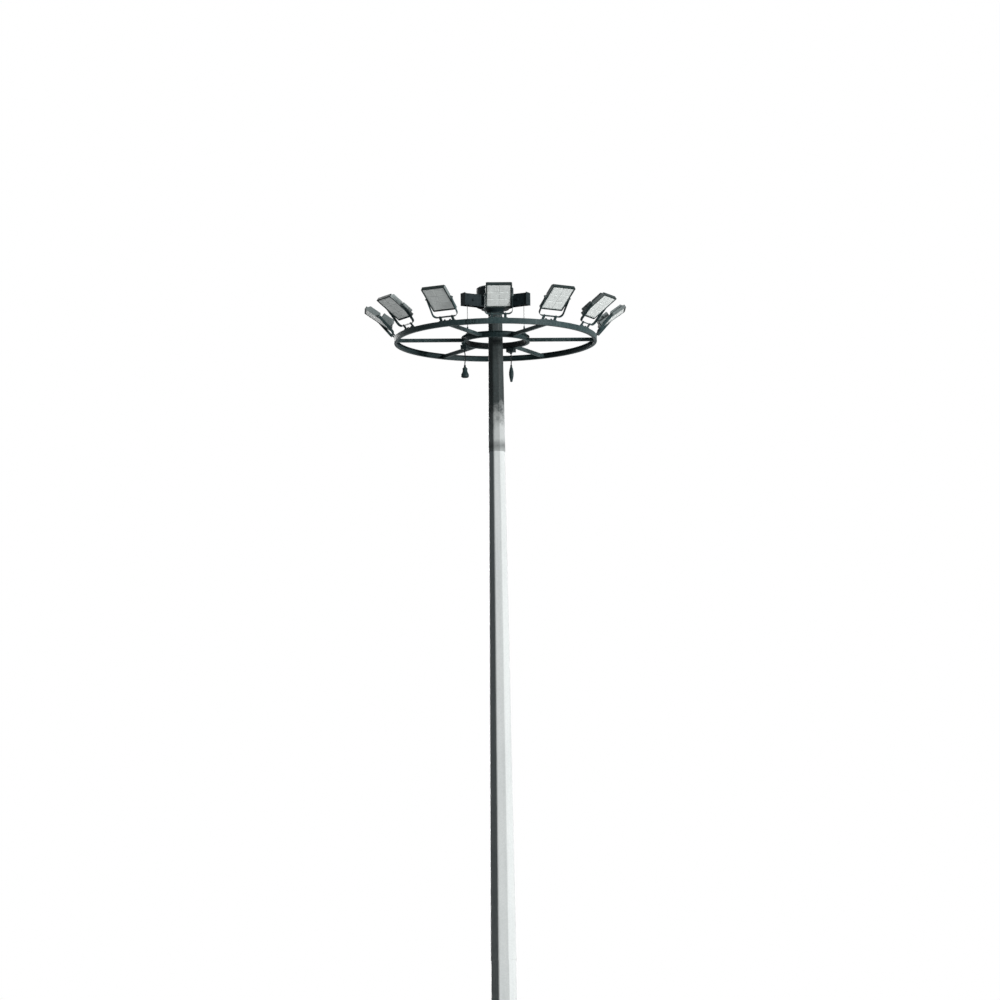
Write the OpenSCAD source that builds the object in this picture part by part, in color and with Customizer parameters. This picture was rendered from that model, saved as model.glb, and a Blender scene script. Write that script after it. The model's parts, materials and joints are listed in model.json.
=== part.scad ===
// High mast floodlight tower: a tapered shaft, a winched carriage and a half circle of tilting floods.
// Millimetres, +Z up, origin at the centre of the base flange's underside, the front towards -Y.

/* [Mast shaft] */
// Height of the shaft's top above the ground
mast_h = 20000; // [17000:50:24000]
// Number of flats around the shaft
shaft_sides = 8; // [8:4:12]
// Width across the flats at ground level
shaft_af = 550; // [500:5:650]
// Loss of width across the flats for each millimetre of height
shaft_taper = 0.0185; // [0.014:0.0005:0.0195]
// Wall of the shaft's plate
shaft_wall = 6; // [4:0.5:10]
// Length of the head section that shows
head_len = 2080; // [1500:10:3000]
// Length of the middle section that shows
mid_len = 7520; // [5000:10:9000]
// Overlap of the upper slip joint
upper_lap = 400; // [300:10:600]
// Overlap of the lower slip joint
lower_lap = 600; // [400:10:900]
// Clearance between the two walls of a slip joint
lap_gap = 0.3; // [0.1:0.05:0.6]

/* [Base] */
// Diameter of the base flange
flange_d = 850; // [780:5:1000]
// Thickness of the base flange
flange_t = 30; // [20:1:45]
// Diameter of the cable opening in the flange
flange_bore = 380; // [200:5:440]
// Diameter of the anchor bolt circle
bolt_circle = 740; // [700:5:800]
// Number of anchor bolts
bolt_count = 16; // [8:8:16]
// Diameter of an anchor bolt hole
bolt_hole = 34; // [22:1:40]
// Height of a gusset
gusset_h = 320; // [200:10:450]
// Thickness of a gusset
gusset_t = 16; // [10:1:25]
// Distance from a gusset's toe to the flange's rim
gusset_edge = 15; // [5:1:40]
// Height of a gusset's toe
gusset_toe = 30; // [15:1:60]
// Width of a gusset's top
gusset_top = 20; // [10:1:40]
// Gap left between two plates that are welded or bolted together
seat_gap = 0.2; // [0:0.05:0.4]

/* [Door] */
// Clear width of the doorway
door_w = 150; // [110:5:165]
// Clear height of the doorway
door_h = 900; // [600:10:1100]
// Height of the door frame's foot above the ground
door_sill = 650; // [500:10:900]
// Corner radius of the doorway
door_corner = 40; // [20:1:60]
// Thickness of the door frame's bar
frame_t = 12; // [8:1:16]
// Reach of the door frame out of the shaft's face
frame_proud = 15; // [8:1:30]
// Reach of the door frame into the shaft
frame_inside = 30; // [15:1:50]
// Thickness of the door leaf
leaf_t = 5; // [3:0.5:10]

/* [Mast head] */
// Diameter of the cap plate on the shaft's top
cap_d = 270; // [240:5:400]
// Thickness of the cap plate
cap_t = 12; // [8:1:20]
// Diameter of the pedestal's post at its foot
post_foot_d = 230; // [180:5:235]
// Diameter of the pedestal's post at its top
post_d = 310; // [240:5:340]
// Height of the pedestal's post
post_h = 46; // [30:1:140]
// Diameter of the table that carries the sheave boxes
table_d = 410; // [350:5:500]
// Thickness of the table
table_t = 12; // [8:1:20]
// Diameter of the hood
hood_d = 550; // [500:5:700]
// Wall of the hood
hood_wall = 3; // [2:0.5:6]
// Height of the hood's lower edge above the shaft's top
hood_drop = 100; // [15:1:110]
// Height of the hood's side above the sheave boxes
hood_rise = 122; // [40:1:160]
// Height of the hood's crown above its side
hood_crown = 23; // [20:1:100]
// Diameter of the hood's flat crown
crown_d = 120; // [40:5:300]
// Width of the hood's sloping shoulder
shoulder_w = 22; // [15:1:90]
// Rise of the hood's shoulder
shoulder_rise = 15; // [8:1:18]

/* [Sheaves and ropes] */
// Number of suspension ropes
rope_count = 3; // [3:1:4]
// Diameter of a suspension rope
rope_d = 10; // [8:1:14]
// Width of a sheave box
box_w = 110; // [90:2:140]
// Height of a sheave box
box_h = 180; // [176:1:260]
// Wall of a sheave box
box_wall = 6; // [4:0.5:8]
// Radius of a sheave box's rounded upper corner
box_corner = 14; // [8:1:70]
// Width of the rim around a sheave box's outer end
nose_rim = 10; // [5:1:16]
// Thickness of the rim around a sheave box's outer end
nose_t = 8; // [7:0.5:12]
// Distance from the mast's axis to a box's inner end
box_start = 75; // [70:1:100]
// Length of a box beyond its rope
box_nose = 76; // [60:1:120]
// Diameter of a sheave at the bottom of its groove
sheave_d = 130; // [110:1:135]
// Depth of a sheave's groove
groove_depth = 14; // [12:1:16]
// Clearance at each side of a rope in its groove
groove_gap = 0.5; // [0.4:0.1:1.5]
// Width of a sheave's rim
sheave_w = 26; // [24:1:40]
// Spread of the groove at its mouth
groove_mouth = 4; // [2:0.5:5]
// Height of a sheave's axle above the table
axle_z = 88; // [86:1:90]
// Diameter of a sheave's axle
axle_d = 24; // [16:1:36]
// Diameter of the spacers beside a sheave
spacer_d = 56; // [40:1:80]
// Length of an axle's end outside the box
axle_end = 8; // [4:1:15]
// Clearance around an axle
axle_gap = 0.1; // [0.05:0.05:0.3]

/* [Carriage] */
// Distance of the carriage's plane below the shaft's top when it is docked
dock_drop = 400; // [380:5:900]
// Outer diameter of the carrier ring
ring_d = 3000; // [2600:10:3600]
// Height of the carrier ring's channel
ring_h = 80; // [70:2:160]
// Width of the carrier ring's flanges
ring_flange = 45; // [42:1:90]
// Plate of the carrier ring
ring_t = 6; // [5:0.5:10]
// Inner diameter of the guide ring
guide_d = 920; // [800:10:1100]
// Height of the guide ring's channel
guide_h = 90; // [84:2:140]
// Width of the guide ring's flanges
guide_flange = 45; // [42:1:80]
// Plate of the guide ring
guide_t = 7; // [5:0.5:10]
// Number of spokes
spoke_count = 6; // [6:6:12]
// Width of a spoke
spoke_w = 40; // [34:1:80]
// Wall of a spoke
spoke_wall = 4; // [3:0.5:6]
// Clearance of a spoke between the rings' flanges
spoke_gap = 8; // [2:0.5:10]
// Thickness of the rubber fender inside the guide ring
fender_t = 24; // [12:1:40]
// Height of the fender
fender_h = 60; // [40:1:70]
// Radius of the fender's rounded edges
fender_round = 9; // [4:0.5:11]

/* [Rope anchors] */
// Length of an anchor's foot along the guide ring
anchor_len = 70; // [50:1:100]
// Width of an anchor's foot
anchor_w = 34; // [30:1:40]
// Thickness of an anchor's foot
anchor_t = 10; // [6:1:16]
// Height of the rope's socket
socket_h = 100; // [70:1:140]
// Diameter of the socket at its foot
socket_foot = 30; // [24:1:34]
// Diameter of the socket at its mouth
socket_mouth = 22; // [18:1:30]
// Depth of the rope in its socket
socket_depth = 50; // [30:1:60]

/* [Flood mounting] */
// Angle between neighbouring floods around the ring
flood_step = 30; // [28:1:30]
// Lean of a flood from the vertical at rest
flood_lean = 55; // [45:1:60]
// Lean of a flood's yoke and bracket from the vertical
yoke_lean = 41; // [25:1:45]
// Width of a bracket's foot across the ring's flange
foot_w = 38; // [34:1:42]
// Length of a bracket's foot along the ring
foot_len = 270; // [200:5:320]
// Thickness of a bracket's foot
foot_t = 8; // [5:0.5:12]
// Length of a bracket's leg
leg_len = 60; // [50:1:140]
// Thickness of a bracket's leg
leg_t = 14; // [8:1:18]
// Width of a bracket's leg
leg_w = 40; // [25:1:60]
// Distance between a bracket's two legs
leg_span = 200; // [140:5:230]
// Width of the yoke's strap
strap_w = 40; // [34:1:60]
// Thickness of the yoke's strap
strap_t = 6; // [4:0.5:10]
// Inner bend radius of the yoke
strap_bend = 60; // [10:1:65]
// Room between a flood's lower edge and its yoke's bar
yoke_room = 78; // [70:1:140]

/* [Flood] */
// Width of a flood's housing
flood_w = 385; // [320:5:460]
// Length of a flood's housing
flood_len = 470; // [400:5:520]
// Reach of the housing's rim ahead of its trunnions
tray_front = 24; // [21:1:40]
// Reach of the housing's back behind its trunnions
tray_back = 21; // [21:1:45]
// Corner radius of the housing
tray_corner = 18; // [16:1:45]
// Width of the rim around the optic panel
rim_w = 22; // [12:1:28]
// Width of the ledge that the optic panel sits on
ledge_w = 12; // [8:1:20]
// Thickness of the housing's back wall
tray_wall = 8; // [5:0.5:12]
// Depth of the optic panel's face below the rim
panel_inset = 7; // [5:1:10]
// Thickness of the optic panel
panel_t = 6; // [4:0.5:8]
// Clearance around the optic panel
panel_gap = 0.5; // [0.2:0.1:0.8]
// Rise of the light modules above the optic panel
module_rise = 3; // [1:0.5:4]
// Columns of light modules
module_cols = 2; // [1:1:3]
// Rows of light modules
module_rows = 3; // [2:1:4]
// Strip between the light modules
module_strip = 14; // [8:1:24]
// Height of a cooling fin
fin_h = 38; // [20:1:55]
// Thickness of a cooling fin
fin_t = 5; // [3:0.5:8]
// Number of cooling fins
fin_count = 11; // [7:2:15]
// Distance of the fins from the housing's edges
fin_edge = 22; // [22:1:40]
// Slope of a fin's ends
fin_slope = 26; // [5:1:40]
// Width of the driver box on the housing's back
driver_w = 250; // [180:5:300]
// Length of the driver box
driver_len = 185; // [140:5:195]
// Depth of the driver box
driver_d = 73; // [45:1:90]
// Wall of the driver box
driver_wall = 5; // [3:0.5:7]
// Corner radius of the driver box
driver_corner = 20; // [9:1:30]
// Distance of the driver box from the housing's lower edge
driver_edge = 20; // [12:1:35]
// Gap between the driver box and the fins
driver_gap = 12; // [6:1:25]
// Diameter of a trunnion's boss
boss_d = 40; // [34:1:42]
// Height of a trunnion's boss
boss_h = 8; // [6:0.5:12]
// Diameter of a trunnion pin
pin_d = 20; // [14:1:26]
// Radial clearance of a pin in its yoke
pin_gap = 0.05; // [0.02:0.01:0.1]
// Side clearance between a boss and its yoke
side_gap = 0.5; // [0.3:0.1:1]
// Diameter of a pin's head
head_d = 32; // [28:1:38]
// Height of a pin's head
head_h = 9; // [5:0.5:14]

/* [Hanging leads] */
// Length of a terminal box along the guide ring
terminal_len = 120; // [90:1:160]
// Width of a terminal box across the guide ring
terminal_w = 90; // [70:1:120]
// Height of a terminal box
terminal_h = 60; // [40:1:90]
// Diameter of a cable gland
gland_d = 32; // [24:1:44]
// Length of a cable gland
gland_len = 25; // [15:1:40]
// Diameter of the hanging leads
lead_d = 16; // [12:1:20]
// Length of the supply lead inside the bell plug
bell_grip = 60; // [40:1:75]
// Diameter of the bell plug's neck
bell_neck_d = 32; // [26:1:40]
// Length of the bell plug's neck
bell_neck = 28; // [15:1:40]
// Diameter of the bell plug's body
bell_body_d = 72; // [50:1:90]
// Distance from the bell plug's top to its body
bell_body = 51; // [40:1:60]
// Distance from the bell plug's top to its body's lower end
bell_waist = 95; // [80:1:110]
// Diameter of the bell plug's skirt
bell_d = 116; // [95:1:150]
// Distance from the bell plug's top to its skirt
bell_skirt = 141; // [120:1:155]
// Distance from the bell plug's top to its skirt's lower edge
bell_edge = 177; // [160:1:180]
// Diameter of the bell plug's mouth
bell_mouth = 93; // [60:1:94]
// Length of the bell plug
bell_len = 190; // [182:1:240]
// Length of the test lead inside the spindle coupler
spindle_grip = 120; // [80:1:150]
// Diameter of the spindle coupler's neck
spindle_neck_d = 32; // [26:1:40]
// Length of the spindle coupler's neck
spindle_neck = 31; // [15:1:40]
// Diameter of the spindle coupler's shoulder
spindle_shoulder_d = 49; // [40:1:60]
// Distance from the spindle coupler's top to its shoulder
spindle_shoulder = 51; // [42:1:70]
// Diameter of the spindle coupler's belly
spindle_d = 70; // [61:1:100]
// Distance from the spindle coupler's top to its belly
spindle_belly = 115; // [90:1:130]
// Distance from the spindle coupler's top to its belly's lower end
spindle_waist = 153; // [135:1:180]
// Diameter of the spindle coupler's tail
spindle_tail_d = 42; // [36:1:60]
// Distance from the spindle coupler's top to its tail
spindle_tail = 224; // [190:1:240]
// Length of the spindle coupler
spindle_len = 255; // [245:1:320]

/* [Hidden] */
FLOODS = ["01", "02", "03", "04", "05", "06", "07"];

round_fn = 64;
small_fn = 48;
cut = 1;
front = -90;
flood_count = len(FLOODS);

upper_joint_z = mast_h - head_len;
lower_joint_z = upper_joint_z - mid_len;
lap_step = 2 * (shaft_wall + lap_gap);
flat_angle = 180 / shaft_sides;
face_lean = atan(shaft_taper / 2);

door_outer_w = door_w + 2 * frame_t;
door_outer_h = door_h + 2 * frame_t;
door_mid_z = door_sill + door_outer_h / 2;

cap_z = mast_h + seat_gap;
table_z = cap_z + cap_t + post_h + table_t;
box_foot_z = table_z + seat_gap;
box_top_z = box_foot_z + box_h;
hood_side_z = box_top_z + hood_rise;
guide_r = guide_d / 2;
guide_out_r = guide_r + guide_flange;
rope_r = guide_r + guide_flange / 2;
box_end = rope_r + box_nose;
sheave_x = rope_r - sheave_d / 2 - rope_d / 2 - seat_gap;
axle_height = box_foot_z + axle_z;
box_in_w = box_w - 2 * box_wall;

ring_z = mast_h - dock_drop;
ring_r = ring_d / 2;
ring_top = ring_z + ring_h / 2;
guide_top = ring_z + guide_h / 2;
guide_foot = ring_z - guide_h / 2;
anchor_z = guide_top + seat_gap;
spoke_h = min(ring_h - 2 * ring_t, guide_h - 2 * guide_t) - 2 * spoke_gap;
spoke_start = guide_r + guide_t + seat_gap;
spoke_end = sqrt(pow(ring_r - ring_t, 2) - pow(spoke_w / 2, 2)) - seat_gap;
socket_z = anchor_z + anchor_t + socket_h - socket_depth;

foot_r = ring_r - ring_flange / 2;
foot_z = ring_top + seat_gap;
yoke_drop = flood_len / 2 + yoke_room;
mount_len = leg_len + seat_gap + strap_t + yoke_drop;
pivot_r = foot_r + mount_len * sin(yoke_lean);
pivot_z = foot_z + foot_t + mount_len * cos(yoke_lean);
yoke_in = flood_w / 2 + boss_h + side_gap;
yoke_out = yoke_in + strap_t;

panel_w = flood_w - 2 * rim_w;
panel_len = flood_len - 2 * rim_w;
panel_corner = tray_corner - rim_w / 2;
panel_face = tray_front - panel_inset;
panel_seat = panel_face - panel_t;
driver_foot = -flood_len / 2 + driver_edge;
fin_start = driver_foot + driver_len + driver_gap;
fin_stop = flood_len / 2 - fin_edge;
fin_pitch = (flood_w - 2 * fin_edge - fin_t) / (fin_count - 1);
module_w = (panel_w - module_strip * (module_cols + 1)) / module_cols;
module_len = (panel_len - module_strip * (module_rows + 1)) / module_rows;

terminal_z = guide_foot - seat_gap;
gland_z = terminal_z - terminal_h - gland_len;
supply_angle = 160;
test_angle = 60;
lead_sides = 10;
// A lead's tube has a ring at every second point of its route
lead_step = 2;
supply_route = [
    [0, 0, 0], [0, 0, -15], [-1, 0, -30], [-3, 0, -45], [-5, 0, -60], [-8, 0, -75], [-10, 0, -90],
    [-11, 0, -105], [-10, 0, -120], [-8, 0, -135], [-5, 0, -150], [-3, 0, -165], [-1, 0, -180],
    [0, 0, -195], [0, 0, -210], [0, 0, -225], [0, 0, -240], [0, 0, -255], [0, 0, -270]];
test_route = [
    [0, 0, 0], [0, 0, -12], [1, 0, -24], [2, 0, -36], [3, 0, -48], [5, 0, -60], [6, 0, -72],
    [7, 0, -84], [6, 0, -96], [5, 0, -108], [3, 0, -120], [2, 0, -132], [1, 0, -144],
    [0, 0, -156], [0, 0, -168], [0, 0, -180], [0, 0, -192], [0, 0, -204], [0, 0, -216], [0, 0, -228],
    [0, 0, -240], [0, 0, -252], [0, 0, -264], [0, 0, -276], [0, 0, -288]];
supply_plug_z = gland_z + supply_route[len(supply_route) - 1].z + bell_grip;
test_coupler_z = gland_z + test_route[len(test_route) - 1].z + spindle_grip;

galvanised = "#c3c8c7";
dark_steel = "#4a5d60";
near_black = "#1b2628";
bezel_grey = "#8d9997";
optic_grey = "#d2d8d5";
rubber_black = "#17191a";
rope_steel = "#8c9090";

// Width across the flats of the base section at a height
function base_width(z) = shaft_af - shaft_taper * z;

// Corner radius of a regular polygon from its width across the flats
function corner_r(af) = af / 2 / cos(flat_angle);

function unit(v) = v / norm(v);

// One tapered polygonal tube from z0 to z1, wider than the base section by step
module shaft_tube(z0, z1, step) {
    rotate([0, 0, flat_angle])
        difference() {
            shaft_cone(z0, z1, step);
            shaft_cone(z0 - cut, z1 + cut, step - 2 * shaft_wall);
        }
}

module shaft_cone(z0, z1, step) {
    translate([0, 0, z0])
        cylinder(h = z1 - z0, r1 = corner_r(base_width(z0) + step), r2 = corner_r(base_width(z1) + step),
            $fn = shaft_sides);
}

module rounded(w, l, r) {
    square([w - 2 * r, l], center = true);
    square([w, l - 2 * r], center = true);
    for (x = [-1, 1], y = [-1, 1])
        translate([x * (w / 2 - r), y * (l / 2 - r)])
            circle(r = r, $fn = small_fn);
}

// A rounded slab that stands across X, from x0 to x1
module slab(x0, x1, w, l, r) {
    translate([x0, 0, 0])
        rotate([90, 0, 90])
            linear_extrude(x1 - x0)
                rounded(w, l, r);
}

// A profile in X and Z made t thick along Y
module plate(t) {
    rotate([90, 0, 0])
        linear_extrude(t, center = true)
            children();
}

// A round piece along Y, centred on the origin
module pin(d, l) {
    rotate([90, 0, 0])
        cylinder(h = l, d = d, center = true, $fn = small_fn);
}

module around(count, start = 0) {
    for (i = [0 : count - 1])
        rotate([0, 0, start + i * 360 / count])
            children();
}

// The frame of the doorway's middle: -Y out of the shaft's front face, Z up along that face
module at_door() {
    translate([0, -base_width(door_mid_z) / 2, door_mid_z])
        rotate([-face_lean, 0, 0])
            children();
}

// The half plane of flood i, with X out of the mast's axis
module at_side(i) {
    rotate([0, 0, front + (i - (flood_count - 1) / 2) * flood_step])
        children();
}

// The frame of flood i's trunnions: Y along them, Z leaning out by an angle
module at_trunnions(i, lean) {
    at_side(i)
        translate([pivot_r, 0, pivot_z])
            rotate([0, lean, 0])
                children();
}

// The frame of flood i at rest: X along the beam, Y along the trunnions, Z along the housing
module at_flood(i) {
    at_trunnions(i, flood_lean)
        children();
}

module at_rope(z) {
    around(rope_count, front + 180 / rope_count)
        translate([rope_r, 0, z])
            children();
}

// A lead's tube along its route's own points
module lead(route) {
    count = len(route);
    spine = [for (i = [0 : lead_step : count - 1]) route[i]];
    last = len(spine) - 1;
    rings = [for (i = [0 : last])
        let (t = unit(spine[min(i + 1, last)] - spine[max(i - 1, 0)]),
            level = i == 0 || i == last ? [0, 0, -1] : t,
            u = unit(cross([0, 1, 0], level)),
            v = cross(level, u))
        [for (k = [0 : lead_sides - 1])
            spine[i] + lead_d / 2 * (cos(k * 360 / lead_sides) * u + sin(k * 360 / lead_sides) * v)]];
    points = [for (ring = rings) each ring];
    sides = [for (i = [0 : last - 1], k = [0 : lead_sides - 1])
        let (n = (k + 1) % lead_sides)
        [i * lead_sides + k, (i + 1) * lead_sides + k, (i + 1) * lead_sides + n, i * lead_sides + n]];
    first_end = [for (k = [0 : lead_sides - 1]) k];
    last_end = [for (k = [lead_sides - 1 : -1 : 0]) last * lead_sides + k];
    polyhedron(points = points, faces = concat(sides, [first_end, last_end]));
}

module at_lead(angle, z) {
    rotate([0, 0, angle])
        translate([rope_r, 0, z])
            children();
}

module base_flange() {
    color(galvanised)
        difference() {
            cylinder(h = flange_t, d = flange_d, $fn = round_fn);
            translate([0, 0, -cut])
                cylinder(h = flange_t + 2 * cut, d = flange_bore, $fn = round_fn);
            around(bolt_count, 180 / bolt_count)
                translate([bolt_circle / 2, 0, -cut])
                    cylinder(h = flange_t + 2 * cut, d = bolt_hole, $fn = small_fn);
        }
}

module base_gussets() {
    foot_x = base_width(flange_t) / 2 + seat_gap;
    top_x = base_width(flange_t + gusset_h) / 2 + seat_gap;
    toe_x = flange_d / 2 - gusset_edge;
    color(galvanised)
        around(shaft_sides)
            translate([0, 0, flange_t])
                plate(gusset_t)
                    polygon([[foot_x, 0], [toe_x, 0], [toe_x, gusset_toe], [top_x + gusset_top, gusset_h],
                        [top_x, gusset_h]]);
}

module shaft_base_section() {
    color(galvanised)
        difference() {
            shaft_tube(flange_t, lower_joint_z + lower_lap, 0);
            at_door()
                rotate([0, 0, -90])
                    slab(-frame_inside - cut, frame_proud + cut, door_outer_w + 2 * seat_gap,
                        door_outer_h + 2 * seat_gap, door_corner + frame_t + seat_gap);
        }
}

module shaft_middle_section() {
    color(galvanised)
        shaft_tube(lower_joint_z, upper_joint_z + upper_lap, lap_step);
}

module shaft_head_section() {
    color(galvanised)
        shaft_tube(upper_joint_z, mast_h, 2 * lap_step);
}

module door_frame() {
    color(galvanised)
        at_door()
            rotate([0, 0, -90])
                difference() {
                    slab(-frame_inside, frame_proud, door_outer_w, door_outer_h, door_corner + frame_t);
                    slab(-frame_inside - cut, frame_proud + cut, door_w, door_h, door_corner);
                }
}

module door_leaf() {
    color(galvanised)
        at_door()
            rotate([0, 0, -90])
                slab(frame_proud, frame_proud + leaf_t, door_outer_w, door_outer_h, door_corner + frame_t);
}

module head_pedestal() {
    color(near_black)
        translate([0, 0, cap_z]) {
            cylinder(h = cap_t, d = cap_d, $fn = round_fn);
            translate([0, 0, cap_t])
                cylinder(h = post_h, d1 = post_foot_d, d2 = post_d, $fn = round_fn);
            translate([0, 0, cap_t + post_h])
                cylinder(h = table_t, d = table_d, $fn = round_fn);
        }
}

module head_hood() {
    hood_r = hood_d / 2;
    inner_r = hood_r - hood_wall;
    crown_r = crown_d / 2;
    edge_z = mast_h + hood_drop;
    top_z = hood_side_z + hood_crown;
    shoulder_r = hood_r - shoulder_w;
    shoulder_z = hood_side_z + shoulder_rise;
    seat_z = box_top_z + seat_gap;
    color(near_black)
        difference() {
            rotate_extrude($fn = round_fn) {
                polygon([[inner_r, edge_z], [hood_r, edge_z], [hood_r, hood_side_z], [shoulder_r, shoulder_z],
                    [crown_r, top_z], [0, top_z], [0, top_z - hood_wall], [crown_r, top_z - hood_wall],
                    [shoulder_r, shoulder_z - hood_wall], [inner_r, hood_side_z - hood_wall]]);
                translate([crown_r, seat_z])
                    square([inner_r + hood_wall / 2 - crown_r, hood_wall]);
            }
            around(rope_count, front + 180 / rope_count)
                translate([crown_r, -box_w / 2 - seat_gap, table_z])
                    cube([hood_r, box_w + 2 * seat_gap, box_h + 2 * seat_gap]);
        }
}

// The side view of a sheave box, with its upper outer corner rounded
module box_side(x0, x1, z1, r) {
    square_h = z1 - r;
    translate([x0, -cut])
        square([x1 - x0, square_h + cut]);
    translate([x0, 0])
        square([x1 - x0 - r, z1]);
    translate([x1 - r, square_h])
        circle(r = r, $fn = small_fn);
}

module sheave_boxes() {
    color(near_black)
        around(rope_count, front + 180 / rope_count)
            translate([0, 0, box_foot_z])
                difference() {
                    union() {
                        plate(box_w)
                            difference() {
                                box_side(box_start, box_end, box_h, box_corner);
                                translate([0, -2 * cut])
                                    square([box_end + cut, 2 * cut]);
                            }
                        translate([box_end - nose_t, -box_w / 2 - nose_rim, 0])
                            cube([nose_t, box_w + 2 * nose_rim, box_h + nose_rim]);
                    }
                    plate(box_in_w)
                        box_side(box_start - cut, box_end - box_wall, box_h - box_wall,
                            box_corner - box_wall);
                    translate([sheave_x, 0, axle_z])
                        pin(axle_d + 2 * axle_gap, box_w + 2 * cut);
                }
}

module rope_sheaves() {
    rim_r = sheave_d / 2 + groove_depth;
    floor_w = rope_d / 2 + groove_gap;
    color(rope_steel)
        around(rope_count, front + 180 / rope_count)
            translate([sheave_x, 0, axle_height]) {
                pin(axle_d, box_w + 2 * axle_end);
                pin(spacer_d, box_in_w - 2 * seat_gap);
                rotate([90, 0, 0])
                    rotate_extrude($fn = round_fn)
                        polygon([[0, -sheave_w / 2], [rim_r, -sheave_w / 2], [rim_r, -floor_w - groove_mouth],
                            [sheave_d / 2, -floor_w], [sheave_d / 2, floor_w],
                            [rim_r, floor_w + groove_mouth], [rim_r, sheave_w / 2], [0, sheave_w / 2]]);
            }
}

module suspension_ropes() {
    color(rope_steel)
        at_rope(socket_z + seat_gap)
            cylinder(h = axle_height - socket_z - seat_gap, d = rope_d, $fn = small_fn);
}

// A rolled channel of height h and plate t, from the radii of its web's and its flanges' two faces
module rolled_channel(web_in, web_out, flange_in, flange_out, h, t) {
    translate([0, 0, ring_z])
        rotate_extrude($fn = round_fn) {
            translate([web_in, -h / 2])
                square([web_out - web_in, h]);
            for (z = [-h / 2, h / 2 - t])
                translate([flange_in, z])
                    square([flange_out - flange_in, t]);
        }
}

module carrier_ring() {
    color(dark_steel)
        rolled_channel(ring_r - ring_t, ring_r, ring_r - ring_flange, ring_r, ring_h, ring_t);
}

module guide_ring() {
    color(dark_steel)
        rolled_channel(guide_r, guide_r + guide_t, guide_r, guide_out_r, guide_h, guide_t);
}

module guide_fender() {
    color(rubber_black)
        translate([0, 0, ring_z])
            rotate_extrude($fn = round_fn)
                translate([guide_r - seat_gap - fender_t / 2, 0])
                    rounded(fender_t, fender_h, fender_round);
}

module spokes() {
    length = spoke_end - spoke_start;
    color(dark_steel)
        around(spoke_count)
            translate([spoke_start, 0, ring_z])
                rotate([90, 0, 90])
                    linear_extrude(length)
                        difference() {
                            square([spoke_w, spoke_h], center = true);
                            square([spoke_w - 2 * spoke_wall, spoke_h - 2 * spoke_wall], center = true);
                        }
}

module rope_anchors() {
    color(dark_steel)
        at_rope(anchor_z)
            difference() {
                union() {
                    translate([0, 0, anchor_t / 2])
                        cube([anchor_w, anchor_len, anchor_t], center = true);
                    translate([0, 0, anchor_t])
                        cylinder(h = socket_h, d1 = socket_foot, d2 = socket_mouth, $fn = small_fn);
                }
                translate([0, 0, anchor_t + socket_h - socket_depth])
                    cylinder(h = socket_depth + cut, d = rope_d + 2 * seat_gap, $fn = small_fn);
            }
}

module flood_bracket() {
    half_t = leg_t / 2 / cos(yoke_lean);
    slip = leg_t / 2 * tan(yoke_lean);
    translate([foot_r, 0, foot_z + foot_t / 2])
        cube([foot_w, foot_len, foot_t], center = true);
    for (y = [-1, 1])
        translate([foot_r, y * leg_span / 2, foot_z + foot_t])
            plate(leg_w)
                polygon([[-half_t, 0], [half_t, 0],
                    [half_t + (leg_len - slip) * sin(yoke_lean), (leg_len - slip) * cos(yoke_lean)],
                    [-half_t + (leg_len + slip) * sin(yoke_lean), (leg_len + slip) * cos(yoke_lean)]]);
}

module flood_brackets() {
    color(dark_steel)
        for (i = [0 : flood_count - 1])
            at_side(i)
                flood_bracket();
}

// The yoke's bent strap seen along the beam, from its bar up to the trunnions
module yoke_outline(half_w, foot, bend) {
    translate([-half_w + bend, foot])
        square([2 * (half_w - bend), -foot]);
    translate([-half_w, foot + bend])
        square([2 * half_w, -foot - bend]);
    for (x = [-1, 1])
        translate([x * (half_w - bend), foot + bend])
            circle(r = bend, $fn = small_fn);
}

module flood_yoke() {
    difference() {
        union() {
            rotate([90, 0, 90])
                linear_extrude(strap_w, center = true)
                    difference() {
                        yoke_outline(yoke_out, -yoke_drop - strap_t, strap_bend + strap_t);
                        yoke_outline(yoke_in, -yoke_drop, strap_bend);
                    }
            for (y = [-1, 1])
                translate([0, y * (yoke_in + strap_t / 2), 0])
                    pin(strap_w, strap_t);
        }
        pin(pin_d + 2 * pin_gap, 2 * yoke_out + 2 * cut);
        translate([-strap_w, -yoke_in, 0])
            cube([2 * strap_w, 2 * yoke_in, strap_w]);
    }
}

module flood_yokes() {
    color(dark_steel)
        for (i = [0 : flood_count - 1])
            at_trunnions(i, yoke_lean)
                flood_yoke();
}

// The cast tray with its ledge for the optic panel, opened through its back wall into the driver box
module housing_tray() {
    driver_mid = driver_foot + driver_len / 2;
    difference() {
        union() {
            slab(-tray_back, tray_front, flood_w, flood_len, tray_corner);
            translate([0, 0, driver_mid])
                slab(-tray_back - driver_d, -tray_back, driver_w, driver_len, driver_corner);
        }
        slab(panel_seat, tray_front + cut, panel_w, panel_len, panel_corner);
        slab(-tray_back + tray_wall, panel_seat + cut, panel_w - 2 * ledge_w, panel_len - 2 * ledge_w,
            panel_corner);
        translate([0, 0, driver_mid])
            slab(-tray_back - driver_d + driver_wall, -tray_back + tray_wall + cut,
                driver_w - 2 * driver_wall, driver_len - 2 * driver_wall, driver_corner - driver_wall);
    }
}

module cooling_fins() {
    for (k = [0 : fin_count - 1])
        translate([0, (k - (fin_count - 1) / 2) * fin_pitch, 0])
            plate(fin_t)
                polygon([[-tray_back, fin_start], [-tray_back - fin_h, fin_start + fin_slope],
                    [-tray_back - fin_h, fin_stop - fin_slope], [-tray_back, fin_stop]]);
}

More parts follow.
